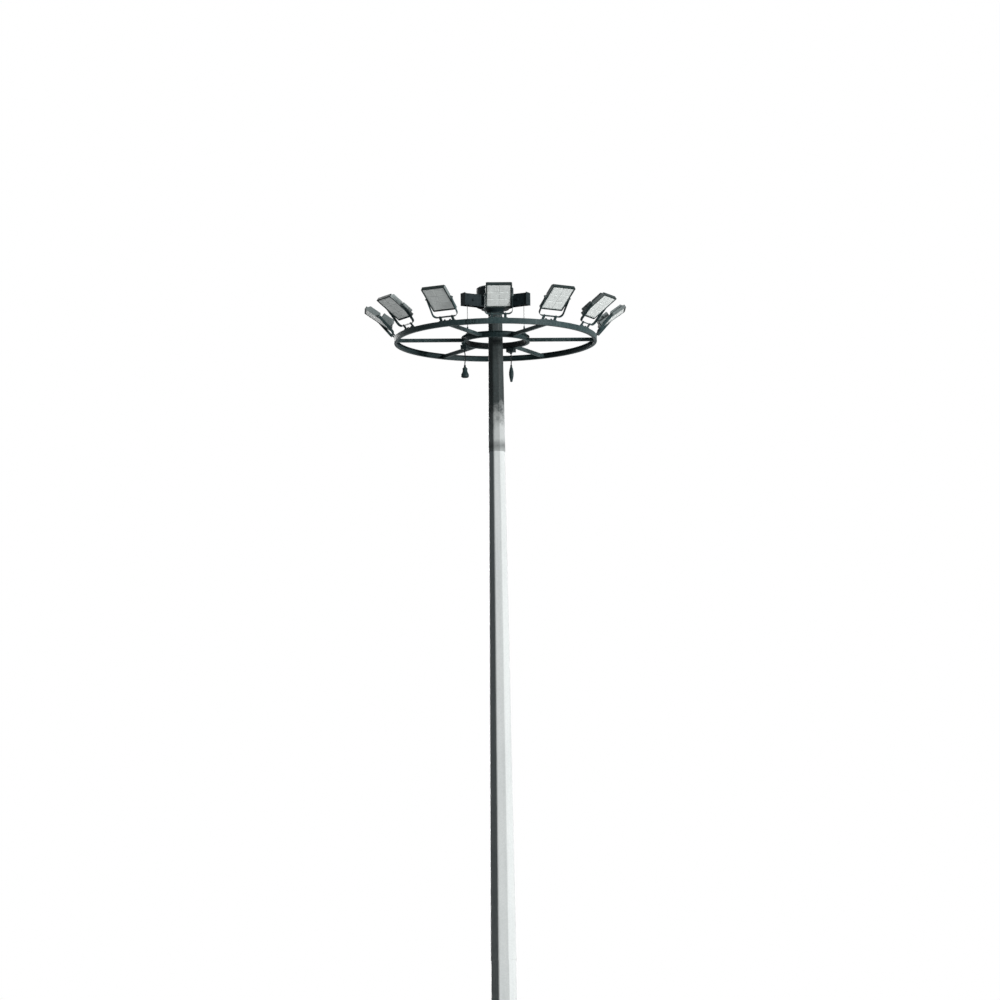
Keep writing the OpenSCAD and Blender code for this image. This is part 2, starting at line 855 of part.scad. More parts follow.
module trunnions() {
    for (y = [-1, 1]) {
        translate([0, y * (flood_w + boss_h) / 2, 0])
            pin(boss_d, boss_h);
        translate([0, y * (flood_w / 2 + (boss_h + strap_t + 3 * side_gap) / 2), 0])
            pin(pin_d, boss_h + strap_t + 3 * side_gap);
        translate([0, y * (yoke_out + side_gap + head_h / 2), 0])
            pin(head_d, head_h);
    }
}

module flood_housing(i) {
    color(bezel_grey)
        at_flood(i) {
            housing_tray();
            cooling_fins();
            trunnions();
        }
}

module flood_optic(i) {
    color(optic_grey)
        at_flood(i) {
            slab(panel_seat, panel_face, panel_w - 2 * panel_gap, panel_len - 2 * panel_gap,
                panel_corner - panel_gap);
            for (c = [0 : module_cols - 1], r = [0 : module_rows - 1])
                translate([panel_face,
                    (c - (module_cols - 1) / 2) * (module_w + module_strip) - module_w / 2,
                    (r - (module_rows - 1) / 2) * (module_len + module_strip) - module_len / 2])
                    cube([module_rise, module_w, module_len]);
        }
}

module terminal_box() {
    translate([0, 0, terminal_z - terminal_h / 2])
        cube([terminal_w, terminal_len, terminal_h], center = true);
    translate([0, 0, gland_z])
        cylinder(h = gland_len, d = gland_d, $fn = small_fn);
}

module terminal_boxes() {
    color(near_black)
        for (angle = [supply_angle, test_angle])
            at_lead(angle, 0)
                terminal_box();
}

module supply_lead() {
    color(rubber_black)
        at_lead(supply_angle, gland_z)
            lead(supply_route);
}

module supply_plug() {
    bore_r = lead_d / 2 + seat_gap;
    bore_z = -bell_grip - seat_gap;
    color(near_black)
        at_lead(supply_angle, supply_plug_z)
            rotate_extrude($fn = small_fn)
                polygon([[bore_r, 0], [bell_neck_d / 2, 0], [bell_neck_d / 2, -bell_neck],
                    [bell_body_d / 2, -bell_body], [bell_body_d / 2, -bell_waist], [bell_d / 2, -bell_skirt],
                    [bell_d / 2, -bell_edge], [bell_mouth / 2, -bell_len], [0, -bell_len], [0, bore_z],
                    [bore_r, bore_z]]);
}

module test_lead() {
    color(rubber_black)
        at_lead(test_angle, gland_z)
            lead(test_route);
}

module test_coupler() {
    bore_r = lead_d / 2 + seat_gap;
    bore_z = -spindle_grip - seat_gap;
    color(near_black)
        at_lead(test_angle, test_coupler_z)
            rotate_extrude($fn = small_fn)
                polygon([[bore_r, 0], [spindle_neck_d / 2, 0], [spindle_neck_d / 2, -spindle_neck],
                    [spindle_shoulder_d / 2, -spindle_shoulder], [spindle_d / 2, -spindle_belly],
                    [spindle_d / 2, -spindle_waist], [spindle_tail_d / 2, -spindle_tail],
                    [spindle_neck_d / 2, -spindle_len], [0, -spindle_len], [0, bore_z], [bore_r, bore_z]]);
}

base_flange();
base_gussets();
shaft_base_section();
shaft_middle_section();
shaft_head_section();
door_frame();
door_leaf();
head_pedestal();
head_hood();
sheave_boxes();
rope_sheaves();
suspension_ropes();
carrier_ring();
guide_ring();
guide_fender();
spokes();
rope_anchors();
flood_brackets();
flood_yokes();
terminal_boxes();
supply_lead();
supply_plug();
test_lead();
test_coupler();
for (i = [0 : flood_count - 1]) {
    flood_housing(i);
    flood_optic(i);
}
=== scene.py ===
import json
import math

import bmesh
import bpy
from bpy.props import FloatProperty, FloatVectorProperty, IntProperty, PointerProperty
from mathutils import Matrix, Vector

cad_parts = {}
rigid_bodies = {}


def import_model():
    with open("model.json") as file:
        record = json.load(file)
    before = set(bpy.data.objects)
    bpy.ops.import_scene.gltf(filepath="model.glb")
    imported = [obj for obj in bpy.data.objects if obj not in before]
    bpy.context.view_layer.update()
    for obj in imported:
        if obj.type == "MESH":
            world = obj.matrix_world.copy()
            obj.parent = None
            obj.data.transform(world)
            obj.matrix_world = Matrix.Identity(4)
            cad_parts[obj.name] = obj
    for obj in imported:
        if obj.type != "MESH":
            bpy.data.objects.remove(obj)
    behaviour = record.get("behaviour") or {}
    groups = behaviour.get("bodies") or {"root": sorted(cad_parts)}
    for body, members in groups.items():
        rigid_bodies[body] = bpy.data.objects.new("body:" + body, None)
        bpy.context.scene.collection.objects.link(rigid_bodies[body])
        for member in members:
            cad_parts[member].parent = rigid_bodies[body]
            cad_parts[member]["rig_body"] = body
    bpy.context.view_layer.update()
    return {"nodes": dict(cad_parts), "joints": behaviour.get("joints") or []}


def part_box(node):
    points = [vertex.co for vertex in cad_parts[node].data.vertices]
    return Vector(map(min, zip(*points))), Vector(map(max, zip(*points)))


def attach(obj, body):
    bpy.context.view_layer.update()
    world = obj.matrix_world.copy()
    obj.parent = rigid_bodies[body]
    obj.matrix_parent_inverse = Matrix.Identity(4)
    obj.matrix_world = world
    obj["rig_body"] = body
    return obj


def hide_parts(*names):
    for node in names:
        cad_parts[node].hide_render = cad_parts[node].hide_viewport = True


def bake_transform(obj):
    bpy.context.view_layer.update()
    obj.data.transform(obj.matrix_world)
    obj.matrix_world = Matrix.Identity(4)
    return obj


bl_info = {
    "name": "High Mast Floodlight Tower",
    "version": (1, 0, 0),
    "blender": (4, 5, 0),
    "location": "View3D > Sidebar > Mast",
    "description": "Dresses the packed tower with its plates, bolts, ropes, leads and finishes",
    "category": "Object",
}

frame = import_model()

# Mesh handling
MERGE = 1e-5
FLAT_ANGLE = math.radians(1.0)
BEVEL_ANGLE = math.radians(32)
BEVEL_SEGMENTS = 2
UP = Vector((0, 0, 1))
OUTWARD = Vector((1, 0, 0))
FRONT = Vector((0, -1, 0))

# Picture and light
PICTURE = 1000
HUB_PIXEL = (497.6, 340.0)
SENSOR = 36.0
LAMP_TINT = (1.0, 0.995, 0.985)
FILL_TINT = (0.62, 0.90, 1.0)
WHITE = (1.0, 1.0, 1.0)
BLACK = (0.0, 0.0, 0.0)
FLOOR_Z = -0.002
FLOOR_RINGS = (6.0, 14.0, 28.0)
FADE_FROM = 7.0
FADE_TO = 27.0

# Shaft, in metres like every size below
SHAFT_SIDES = 8
SHAFT_FOOT_WIDTH = 0.55
SHAFT_TAPER = 0.0185
LAP_STEP = 0.0126
LAP_STEPS = {"shaft_base_section": 0, "shaft_middle_section": 1, "shaft_head_section": 2}
SEAM_X = 0.02
SEAM_SINK = 0.001
SEAM_STEPS = 240
GUSSET_SIDE = 0.0075
WELD_LEG = 0.008
WELD_STEPS = 40
EARTH_Z = 0.52
# Heights over which the shaft's top darkens into a painted shadow of the carriage, partly grime
SHADOW_SOOT_FROM = 18.20
SHADOW_SOOT_FULL = 18.85

# Door: shares of its half height, and outlines as radius and height
DOOR_FACE = -0.0026
HINGE_SHARE = 0.62
HINGE_LEAF = (0.038, 0.003, 0.070)
KNUCKLE_STEP = 0.028
KNUCKLE = [
    (0, -0.0135), (0.0075, -0.0135), (0.0085, -0.0125), (0.0085, 0.0125), (0.0075, 0.0135), (0, 0.0135)]
LOCK_SHARE = 0.55
LOCK_INSET = 0.030
LOCK_ROSE = [(0.019, 0), (0.019, 0.004), (0.0175, 0.0055), (0.0125, 0.0055), (0.0115, 0.0015), (0, 0.0015)]
LOCK_KEY = [(0.0070, 0.001), (0.0070, 0.0050), (0.0060, 0.0056), (0, 0.0056)]

# Mast head
SHEAVE_R = 0.4123
SHEAVE_BOX_SIDE = 0.0552
AXLE_END = 0.0632
BOX_SCREWS_X = (0.30, 0.50)
BOX_SCREWS_RISE = (0.066, -0.070)
LIP_R = 0.006
LIP_FROM = math.radians(13)
LIP_SWEEP = math.radians(94)
LIP_STEPS = 32
RIVET = [(0.007, 0), (0.0062, 0.0026), (0.0036, 0.0044), (0, 0.005)]
RIVET_RISE = 0.032
ROPE_RADIUS = 0.005
ROPE_LAY = 0.075
ROPE_STEPS = 110
STRANDS = 6
STRAND_R = 0.0019

# Carriage
SEAT_GAP = 0.0002
RING_LOW, RING_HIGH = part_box("carrier_ring")
RING_Z = (RING_LOW.z + RING_HIGH.z) / 2
RING_TOP = RING_HIGH.z
RING_R = RING_HIGH.x
RING_PLATE = 0.006
SPLICE_PLATE = 0.007
SPLICE_HALF = 0.085
SPLICE_H = 0.064
SPLICE_ANGLES = [math.radians(a) for a in (15, 135, 255)]
SPLICE_BOLTS = (-0.058, -0.024, 0.024, 0.058)
SPLICE_BOLT_RISE = 0.017
GUIDE_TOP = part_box("guide_ring")[1].z
GUIDE_PLATE = 0.007
ANCHOR_TOP = GUIDE_TOP + SEAT_GAP + 0.010
ANCHOR_BOLT = 0.014
ANCHOR_BOLT_Y = 0.026
ROPE_R = 0.4825
ROPE_ANGLES = [math.radians(a) for a in (-30, 90, 210)]
SPOKE_ANGLES = [math.radians(a) for a in range(0, 360, 60)]
SPOKE_W = 0.040
SPOKE_INNER = 0.4672
SPOKE_OUTER = 1.4936
FENDER_T = 0.024
FENDER_CORNER = 0.009
FENDER_CHAMFER = 0.0027
GROOVE_OFF = 0.011
GROOVE_DEPTH = 0.004
GROOVE_MOUTH = 0.003
GROOVE_FLOOR = 0.0015
LID_HALF = (0.038, 0.053)
LID_CORNER = 0.010
LID_DROP = 0.012
LID_EDGE = 0.004
BOX_SCREW_DROP = 0.060
NUT_RISE = 0.025

# Floods and their mounts
FOOT_R = 1.4775
FOOT_TOP = RING_TOP + SEAT_GAP + 0.008
FOOT_BOLT_Y = 0.045
FLOOD_LEAN = math.radians(55)
YOKE_LEAN = math.radians(41)
FLOOD_W = 0.385
FLOOD_LEN = 0.47
RIM_X = 0.024
RIM_W = 0.022
TRAY_BACK = -0.021
DRIVER_BACK = -0.094
DRIVER_GLAND = (-0.058, -0.125, -0.1225)
DRIVER_SCREWS_Y = (-0.105, 0.105)
DRIVER_SCREWS_Z = (-0.198, -0.047)
RIM_SCREWS_Y = (-0.11, 0.0, 0.11)
RIM_SCREWS_Z = (-0.14, 0.0, 0.14)
MODULE_COLUMNS = 2
MODULE_ROWS = 3
MODULE_STRIP = 0.014
MODULE_X = 0.02
LENS_SINK = 0.0002
MODULE_W = (FLOOD_W - 2 * RIM_W - (MODULE_COLUMNS + 1) * MODULE_STRIP) / MODULE_COLUMNS
MODULE_LEN = (FLOOD_LEN - 2 * RIM_W - (MODULE_ROWS + 1) * MODULE_STRIP) / MODULE_ROWS
YOKE_DROP = FLOOD_LEN / 2 + 0.078
YOKE_OUT = 0.207
YOKE_BOLT = 0.019
YOKE_BOLT_Y = 0.1
TRUNNION_HEAD = 0.009

# Hanging leads: the routes' steps out and down from the glands are in millimetres
LEAD_D = 0.016
GLAND_Z = 19.4698
SUPPLY_ANGLE = math.radians(160)
TEST_ANGLE = math.radians(60)
SUPPLY_ROUTE = [
    (0, 0), (0, -15), (-1, -30), (-3, -45), (-5, -60), (-8, -75), (-10, -90), (-11, -105), (-10, -120),
    (-8, -135), (-5, -150), (-3, -165), (-1, -180), (0, -195), (0, -210), (0, -225), (0, -240), (0, -255),
    (0, -270)]
TEST_ROUTE = [
    (0, 0), (0, -12), (1, -24), (2, -36), (3, -48), (5, -60), (6, -72), (7, -84), (6, -96), (5, -108),
    (3, -120), (2, -132), (1, -144), (0, -156), (0, -168), (0, -180), (0, -192), (0, -204), (0, -216),
    (0, -228), (0, -240), (0, -252), (0, -264), (0, -276), (0, -288)]

# Outlines of the plugs under their ribbed necks: radius and height
BELL_OUTLINE = [
    (0.0160, -0.0290), (0.0250, -0.0400), (0.0340, -0.0490), (0.0358, -0.0530), (0.0358, -0.0700),
    (0.0340, -0.0715), (0.0340, -0.0745), (0.0358, -0.0760), (0.0360, -0.0940), (0.0420, -0.1120),
    (0.0520, -0.1330), (0.0572, -0.1430), (0.0580, -0.1480), (0.0580, -0.1560), (0.0562, -0.1572),
    (0.0562, -0.1600), (0.0580, -0.1612), (0.0580, -0.1750), (0.0560, -0.1795), (0.0470, -0.1890),
    (0.0455, -0.1898), (0.0420, -0.1898), (0.0400, -0.1860), (0.0395, -0.1640), (0, -0.1640)]
SPINDLE_OUTLINE = [
    (0.0160, -0.0310), (0.0235, -0.0500), (0.0285, -0.0760), (0.0325, -0.0980), (0.0348, -0.1120),
    (0.0348, -0.1190), (0.0332, -0.1205), (0.0332, -0.1240), (0.0348, -0.1255), (0.0348, -0.1420),
    (0.0332, -0.1435), (0.0332, -0.1470), (0.0348, -0.1485), (0.0345, -0.1560), (0.0300, -0.1860),
    (0.0235, -0.2160), (0.0208, -0.2240), (0.0190, -0.2390), (0.0178, -0.2480), (0.0158, -0.2540),
    (0.0120, -0.2548), (0.0110, -0.2500), (0, -0.2500)]


def colour_setting(name, description, default):
    return FloatVectorProperty(
        name=name, description=description, subtype="COLOR", size=3, min=0, max=1, default=default)


def length_setting(name, description, default):
    return FloatProperty(
        name=name, description=description, subtype="DISTANCE", unit="LENGTH", min=0, default=default)


class MastColours(bpy.types.PropertyGroup):
    """Colours of the tower's finishes and of the painted shade under the carriage, in linear values."""

    zinc: colour_setting("Zinc", "Hot-dip galvanised steel of the shaft", (0.74, 0.77, 0.77))
    zinc_dull: colour_setting("Dull zinc", "Weathered patches of the galvanising", (0.57, 0.60, 0.60))
    # Painted shadow of the carriage on the shaft's top, partly real grime
    shadow_and_grime: colour_setting("Shadow and grime", "Dull dark film on the shaft under the carriage", (0.024, 0.033, 0.034))
    splash: colour_setting("Splash", "Dried splashes of soil on the shaft's foot", (0.19, 0.18, 0.16))
    slate: colour_setting("Slate paint", "Paint of the carriage's steelwork", (0.024, 0.045, 0.048))
    black: colour_setting("Black paint", "Paint of the mast's head", (0.0080, 0.0150, 0.0175))
    casting: colour_setting("Casting", "Powder coat of the floods' housings", (0.175, 0.205, 0.205))
    bezel: colour_setting("Bezel", "Dark coat of the floods' rims and ends", (0.0150, 0.0265, 0.0260))
    optic: colour_setting("Optic", "Panel and lenses of the floods", (0.80, 0.84, 0.83))
    rope: colour_setting("Rope", "Greased wire of the suspension ropes", (0.24, 0.25, 0.25))
    rubber: colour_setting("Rubber", "Fender and lead sheaths", (0.0120, 0.0150, 0.0155))
    plastic: colour_setting("Plastic", "Plugs, glands and terminal boxes", (0.0125, 0.0260, 0.0285))


class MastSizes(bpy.types.PropertyGroup):
    """Sizes of the fittings that dress the solids."""

    plate_edge: length_setting("Plate edge", "Rounding of cut plate edges", 0.0015)
    cast_edge: length_setting("Cast edge", "Rounding of cast and moulded edges", 0.0030)
    bend_radius: length_setting("Bend radius", "Outer radius of the shaft's press-brake bends", 0.036)
    seam: length_setting("Seam", "Half width of the shaft's long weld", 0.006)
    ring_bolt: length_setting("Ring bolt", "Width across the flats of the carriage's bolts", 0.024)
    cover_screw: length_setting("Cover screw", "Width across the flats of covers' screws", 0.010)
    lens: length_setting("Lens", "Radius of one lens on a light module", 0.0086)
    lens_rise: length_setting("Lens rise", "Rise of a lens above its module", 0.0020)
    lens_columns: IntProperty(name="Lens columns", description="Lenses across a module", default=8, min=2)
    lens_rows: IntProperty(name="Lens rows", description="Lenses along a module", default=6, min=2)


class MastStage(bpy.types.PropertyGroup):
    """Camera and light of the stage."""

    distance: length_setting("Distance", "Distance of the camera from the carriage", 96.0)
    pixel: length_setting("Pixel", "Width of one picture point at the carriage", 0.0148)
    azimuth: FloatProperty(name="Azimuth", description="Camera's turn about the mast", subtype="ANGLE",
                           default=math.radians(-1.8))
    climb: FloatProperty(name="Climb", description="Upward look of the camera", subtype="ANGLE",
                         default=math.radians(11.0))
    roll: FloatProperty(name="Roll", description="Camera's turn about its own line", subtype="ANGLE",
                        default=math.radians(0.75))
    key: FloatProperty(name="Key", description="Strength of the key light", default=3.8, min=0)
    key_azimuth: FloatProperty(name="Key azimuth", description="Key light's turn to the camera's right",
                               subtype="ANGLE", default=math.radians(47))
    key_height: FloatProperty(name="Key height", description="Key light's height over the horizon",
                              subtype="ANGLE", default=math.radians(5))
    bounce: FloatProperty(name="Bounce", description="Strength of the light off the ground", default=1.15,
                          min=0)
    back: FloatProperty(name="Back", description="Strength of the light from behind", default=2.2, min=0)
    fill: FloatProperty(name="Fill", description="Strength of the surrounding light", default=0.034, min=0)


def colours():
    return bpy.context.scene.mast_colours


def sizes():
    return bpy.context.scene.mast_sizes


class Wire:
    """A shader socket that takes part in sums."""

    def __init__(self, wiring, socket):
        self.wiring = wiring
        self.socket = socket

    def sum(self, operation, *values):
        return self.wiring.node("ShaderNodeMath", {"operation": operation}, dict(enumerate(values)))

    def most(self, other):
        return self.sum("MAXIMUM", self, other)

    def __add__(self, other):
        return self.sum("ADD", self, other)

    def __radd__(self, other):
        return self.sum("ADD", other, self)

    def __sub__(self, other):
        return self.sum("SUBTRACT", self, other)

    def __mul__(self, other):
        return self.sum("MULTIPLY", self, other)

    def __rmul__(self, other):
        return self.sum("MULTIPLY", other, self)


class Wiring:
    """The nodes of a material or a world."""

    def __init__(self, owner):
        owner.use_nodes = True
        self.owner = owner
        self.tree = owner.node_tree
        self.tree.nodes.clear()

    def node(self, kind, settings=None, inputs=None, output=0):
        """Makes a node, sets it up, fills or links its inputs and gives one of its outputs."""
        made = self.tree.nodes.new(kind)
        for name, value in (settings or {}).items():
            setattr(made, name, value)
        for key, value in (inputs or {}).items():
            if isinstance(value, Wire):
                self.tree.links.new(value.socket, made.inputs[key])
            else:
                made.inputs[key].default_value = value
        return Wire(self, made.outputs[output]) if made.outputs else None


class Finish(Wiring):
    """One procedural material."""

    def __init__(self, name):
        super().__init__(bpy.data.materials.new(name))
        self.place = self.node("ShaderNodeTexCoord", output="Object")

    def stretched(self, stretch):
        return self.node("ShaderNodeVectorMath", {"operation": "MULTIPLY"}, {0: self.place, 1: stretch})

    def noise(self, scale, detail=4.0, rough=0.55, stretch=None):
        where = self.stretched(stretch) if stretch else self.place
        return self.node("ShaderNodeTexNoise", None, {
            "Vector": where, "Scale": scale, "Detail": detail, "Roughness": rough})

    def cells(self, scale):
        tint = self.node("ShaderNodeTexVoronoi", None, {"Vector": self.place, "Scale": scale}, output="Color")
        return self.node("ShaderNodeSeparateColor", None, {0: tint})

    def edges(self, low=0.515, high=0.58):
        return self.band(self.node("ShaderNodeNewGeometry", output="Pointiness"), low, high)

    def band(self, value, low, high):
        return self.node("ShaderNodeMapRange", {"clamp": True}, {
            "Value": value, "From Min": low, "From Max": high, "To Min": 0.0, "To Max": 1.0})

    def mix(self, share, first, second):
        given = [c if isinstance(c, Wire) else (*c, 1.0) for c in (first, second)]
        values = {0: share, 6: given[0], 7: given[1]}
        return self.node("ShaderNodeMix", {"data_type": "RGBA"}, values, output=2)

    def bump(self, height, strength, distance):
        return self.node("ShaderNodeBump", None, {
            "Height": height, "Strength": strength, "Distance": distance})

    def surface(self, **inputs):
        """Ends the material in a surface with these inputs."""
        named = {name.replace("_", " "): value for name, value in inputs.items()}
        shader = self.node("ShaderNodeBsdfPrincipled", None, named)
        self.node("ShaderNodeOutputMaterial", None, {"Surface": shader})
        return self.owner


def shade(colour, share):
    return tuple(min(1.0, c * share) for c in colour)


def galvanised_steel(name):
    tint = colours()
    f = Finish(name)
    spangle = f.cells(52.0)
    patina = f.noise(1.3, 5.0, 0.6)
    runs = f.band(f.noise(16.0, 5.0, 0.6, (1.0, 1.0, 0.03)), 0.46, 0.72)
    grain = f.noise(420.0, 2.0)
    tone = f.band(0.62 + 0.85 * (patina - 0.5) + 0.34 * (spangle - 0.5) - 0.42 * runs, 0.0, 1.0)
    height = f.node("ShaderNodeSeparateXYZ", None, {0: f.place}, output="Z")
    weather = f.band(height + 3.0 * (patina - 0.5), 8.5, 3.0)
    worn = f.mix(tone, shade(tint.zinc_dull, 0.5), shade(tint.zinc_dull, 0.86))
    body = f.mix(tone, tuple(tint.zinc_dull), tuple(tint.zinc))
    body = f.mix(0.9 * weather, body, worn)
    splash = f.band(height + 0.5 * (f.noise(9.0, 6.0, 0.65) - 0.5), 0.75, 0.05)
    body = f.mix(0.5 * splash, body, tuple(tint.splash))
    body = f.mix(0.35 * f.edges(), body, shade(tint.zinc, 0.9))
    # Painted shade: the head section is a little darker all along, and its top under the carriage is much
    # darker, standing in for the carriage's shadow with some grime
    drift = f.noise(2.2, 6.0, 0.65, (1.0, 1.0, 0.35)) - 0.5
    mottle = f.noise(7.0, 6.0, 0.7) - 0.5
    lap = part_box("shaft_head_section")[0].z
    # Painted shadow line: a dark band just above the head section's lower edge at the lap
    rim = f.band(height + 0.10 * drift + 0.12 * mottle, lap + 0.17, lap + 0.07)
    rim = rim * f.band(height, lap - 0.010, lap)
    shadow_soot = f.band(height + 0.5 * drift + 1.1 * mottle, SHADOW_SOOT_FROM, SHADOW_SOOT_FULL)
    shadow_film = f.band(0.26 * f.band(height, lap, lap + 0.08) + 0.45 * rim + 0.97 * shadow_soot, 0.0, 0.97)
    shadow_streaks = f.band(0.7 * mottle + 0.9 * drift + 0.35 * (runs - 0.5) + 0.2 * (spangle - 0.5), -0.28, 0.32)
    shadow_dirt = f.mix(shadow_streaks, shade(tint.shadow_and_grime, 0.55), shade(tint.shadow_and_grime, 1.9))
    body = f.mix(0.97 * shadow_film, body, shadow_dirt)
    rough = 0.46 + 0.2 * patina - 0.07 * spangle
    relief = f.bump(0.7 * spangle + 0.3 * grain, 0.10, 0.002)
    return f.surface(Base_Color=body, Roughness=rough, Normal=relief, Specular_IOR_Level=0.1)


def painted_steel(name, colour, dusty, primer, rough_base, gloss):
    f = Finish(name)
    fade = f.noise(2.6, 5.0, 0.6)
    runs = f.band(f.noise(22.0, 4.0, 0.6, (1.0, 1.0, 0.12)), 0.5, 0.75)
    chips = f.band(f.noise(70.0, 6.0, 0.65), 0.70, 0.73) * f.band(f.noise(6.0), 0.52, 0.6)
    worn = f.edges() * f.band(f.noise(34.0, 5.0, 0.7), 0.42, 0.6)
    peel = f.noise(520.0, 2.0)
    body = f.mix(f.band(fade, 0.25, 0.75), shade(colour, 0.78), shade(colour, 1.22))
    body = f.mix(0.32 * runs, body, dusty)
    body = f.mix(0.8 * chips, body, primer)
    body = f.mix(0.55 * worn, body, shade(dusty, 1.25))
    rough = rough_base + 0.16 * fade + 0.18 * chips
    relief = f.bump(peel * 0.5 - chips, 0.12, 0.0015)
    return f.surface(Base_Color=body, Roughness=rough, Normal=relief, Specular_IOR_Level=gloss)


def slate_paint(name):
    return painted_steel(
        name, colours().slate, dusty=(0.10, 0.135, 0.137), primer=(0.10, 0.095, 0.085), rough_base=0.46,
        gloss=0.12)


def black_paint(name):
    return painted_steel(
        name, colours().black, dusty=(0.022, 0.033, 0.037), primer=(0.040, 0.044, 0.045), rough_base=0.5,
        gloss=0.08)


def cast_aluminium(name):
    tint = colours().casting
    f = Finish(name)
    cloud = f.noise(5.0, 5.0, 0.6)
    runs = f.band(f.noise(46.0, 4.0, 0.6, (1.0, 1.0, 0.2)), 0.52, 0.76)
    peel = f.noise(640.0, 2.0)
    worn = f.edges() * f.band(f.noise(60.0, 4.0), 0.4, 0.65)
    body = f.mix(f.band(cloud, 0.25, 0.75), shade(tint, 0.84), shade(tint, 1.14))
    body = f.mix(0.35 * runs, body, shade(tint, 0.62))
    body = f.mix(0.5 * worn, body, shade(tint, 1.7))
    rough = 0.44 + 0.18 * cloud
    relief = f.bump(peel, 0.10, 0.0012)
    return f.surface(Base_Color=body, Roughness=rough, Normal=relief, Metallic=0.15, Specular_IOR_Level=0.4)


def dark_bezel(name):
    tint = colours().bezel
    f = Finish(name)
    cloud = f.noise(9.0, 5.0, 0.6)
    peel = f.noise(640.0, 2.0)
    worn = f.edges() * f.band(f.noise(50.0, 4.0), 0.45, 0.65)
    body = f.mix(f.band(cloud, 0.25, 0.75), shade(tint, 0.75), shade(tint, 1.35))
    body = f.mix(0.4 * worn, body, (0.11, 0.13, 0.13))
    rough = 0.48 + 0.16 * cloud
    relief = f.bump(peel, 0.10, 0.0012)
    return f.surface(Base_Color=body, Roughness=rough, Normal=relief, Specular_IOR_Level=0.15)


def optic_panel(name):
    tint = colours().optic
    f = Finish(name)
    haze = f.noise(7.0, 5.0, 0.6)
    dust = f.band(f.noise(38.0, 6.0, 0.65), 0.5, 0.72)
    fleck = f.noise(300.0, 2.0)
    body = f.mix(f.band(haze, 0.25, 0.75), shade(tint, 0.84), shade(tint, 1.08))
    body = f.mix(0.3 * dust, body, shade(tint, 0.6))
    rough = 0.26 + 0.2 * dust + 0.08 * haze
    relief = f.bump(fleck, 0.05, 0.001)
    return f.surface(Base_Color=body, Roughness=rough, Normal=relief, Coat_Weight=0.15, Coat_Roughness=0.12)


def lens_glass(name):
    tint = colours().optic
    f = Finish(name)
    haze = f.noise(16.0, 4.0)
    body = f.mix(haze, shade(tint, 0.82), shade(tint, 1.1))
    rough = 0.22 + 0.14 * haze
    relief = f.bump(f.noise(220.0, 2.0), 0.04, 0.001)
    return f.surface(Base_Color=body, Roughness=rough, Normal=relief, Coat_Weight=0.2, Coat_Roughness=0.12)


def rope_steel(name):
    tint = colours().rope
    f = Finish(name)
    wire = f.noise(900.0, 2.0, 0.5, (1.0, 1.0, 0.4))
    grease = f.band(f.noise(30.0, 5.0, 0.6), 0.42, 0.68)
    body = f.mix(wire, shade(tint, 0.7), shade(tint, 1.35))
    body = f.mix(0.55 * grease, body, shade(tint, 0.3))
    rough = 0.36 + 0.2 * grease
    relief = f.bump(wire, 0.25, 0.001)
    return f.surface(Base_Color=body, Roughness=rough, Normal=relief, Metallic=0.75)


def black_rubber(name):
    tint = colours().rubber
    f = Finish(name)
    bloom = f.noise(14.0, 6.0, 0.65)
    dust = f.band(f.noise(60.0, 5.0, 0.6), 0.5, 0.75)
    body = f.mix(f.band(bloom, 0.3, 0.75), shade(tint, 0.8), shade(tint, 1.9))
    body = f.mix(0.3 * dust, body, (0.06, 0.065, 0.065))
    rough = 0.62 + 0.2 * bloom
    relief = f.bump(f.noise(380.0, 3.0), 0.12, 0.0015)
    return f.surface(Base_Color=body, Roughness=rough, Normal=relief, Specular_IOR_Level=0.15)


def black_plastic(name):
    tint = colours().plastic
    f = Finish(name)
    bloom = f.noise(20.0, 5.0, 0.6)
    worn = f.edges() * f.band(f.noise(80.0, 4.0), 0.42, 0.62)
    spark = f.noise(900.0, 2.0)
    body = f.mix(f.band(bloom, 0.3, 0.75), shade(tint, 0.8), shade(tint, 1.5))
    body = f.mix(0.45 * worn, body, (0.07, 0.08, 0.08))
    rough = 0.44 + 0.2 * bloom
    relief = f.bump(spark, 0.10, 0.001)
    return f.surface(Base_Color=body, Roughness=rough, Normal=relief, Specular_IOR_Level=0.15)


FINISHES = {
    "galvanised_steel": galvanised_steel,
    "slate_paint": slate_paint,
    "black_paint": black_paint,
    "cast_aluminium": cast_aluminium,
    "dark_bezel": dark_bezel,
    "optic_panel": optic_panel,
    "lens_glass": lens_glass,
    "rope_steel": rope_steel,
    "black_rubber": black_rubber,
    "black_plastic": black_plastic,
}


def finish(name):
    """A slot's finish, made once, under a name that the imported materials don't have."""
    label = name + "_finish"
    return bpy.data.materials.get(label) or FINISHES[name](label)


def piece(name, bm, body, slot, finishes=None, stands_for=()):
    """Makes the mesh a piece that rides on a body, in a slot's finish."""
    mesh = bpy.data.meshes.new(name)
    bm.to_mesh(mesh)
    bm.free()
    for coat in finishes or [slot]:
        mesh.materials.append(finish(coat))
    mesh.shade_smooth()
    made = bpy.data.objects.new(name, mesh)
    bpy.context.scene.collection.objects.link(made)
    if body:
        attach(made, body)
    if stands_for:
        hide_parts(*stands_for)
    return made


def rounded_edges(made, width):
    """Rounds a piece's sharp edges and keeps its flats flat."""
    soft = made.modifiers.new("Rounded edges", "BEVEL")
    soft.width = width
    soft.segments = BEVEL_SEGMENTS
    soft.limit_method = "ANGLE"
    soft.angle_limit = BEVEL_ANGLE
    soft.use_clamp_overlap = True
    flat = made.modifiers.new("Flat faces", "WEIGHTED_NORMAL")
    flat.keep_sharp = True
    flat.weight = 80
    return made


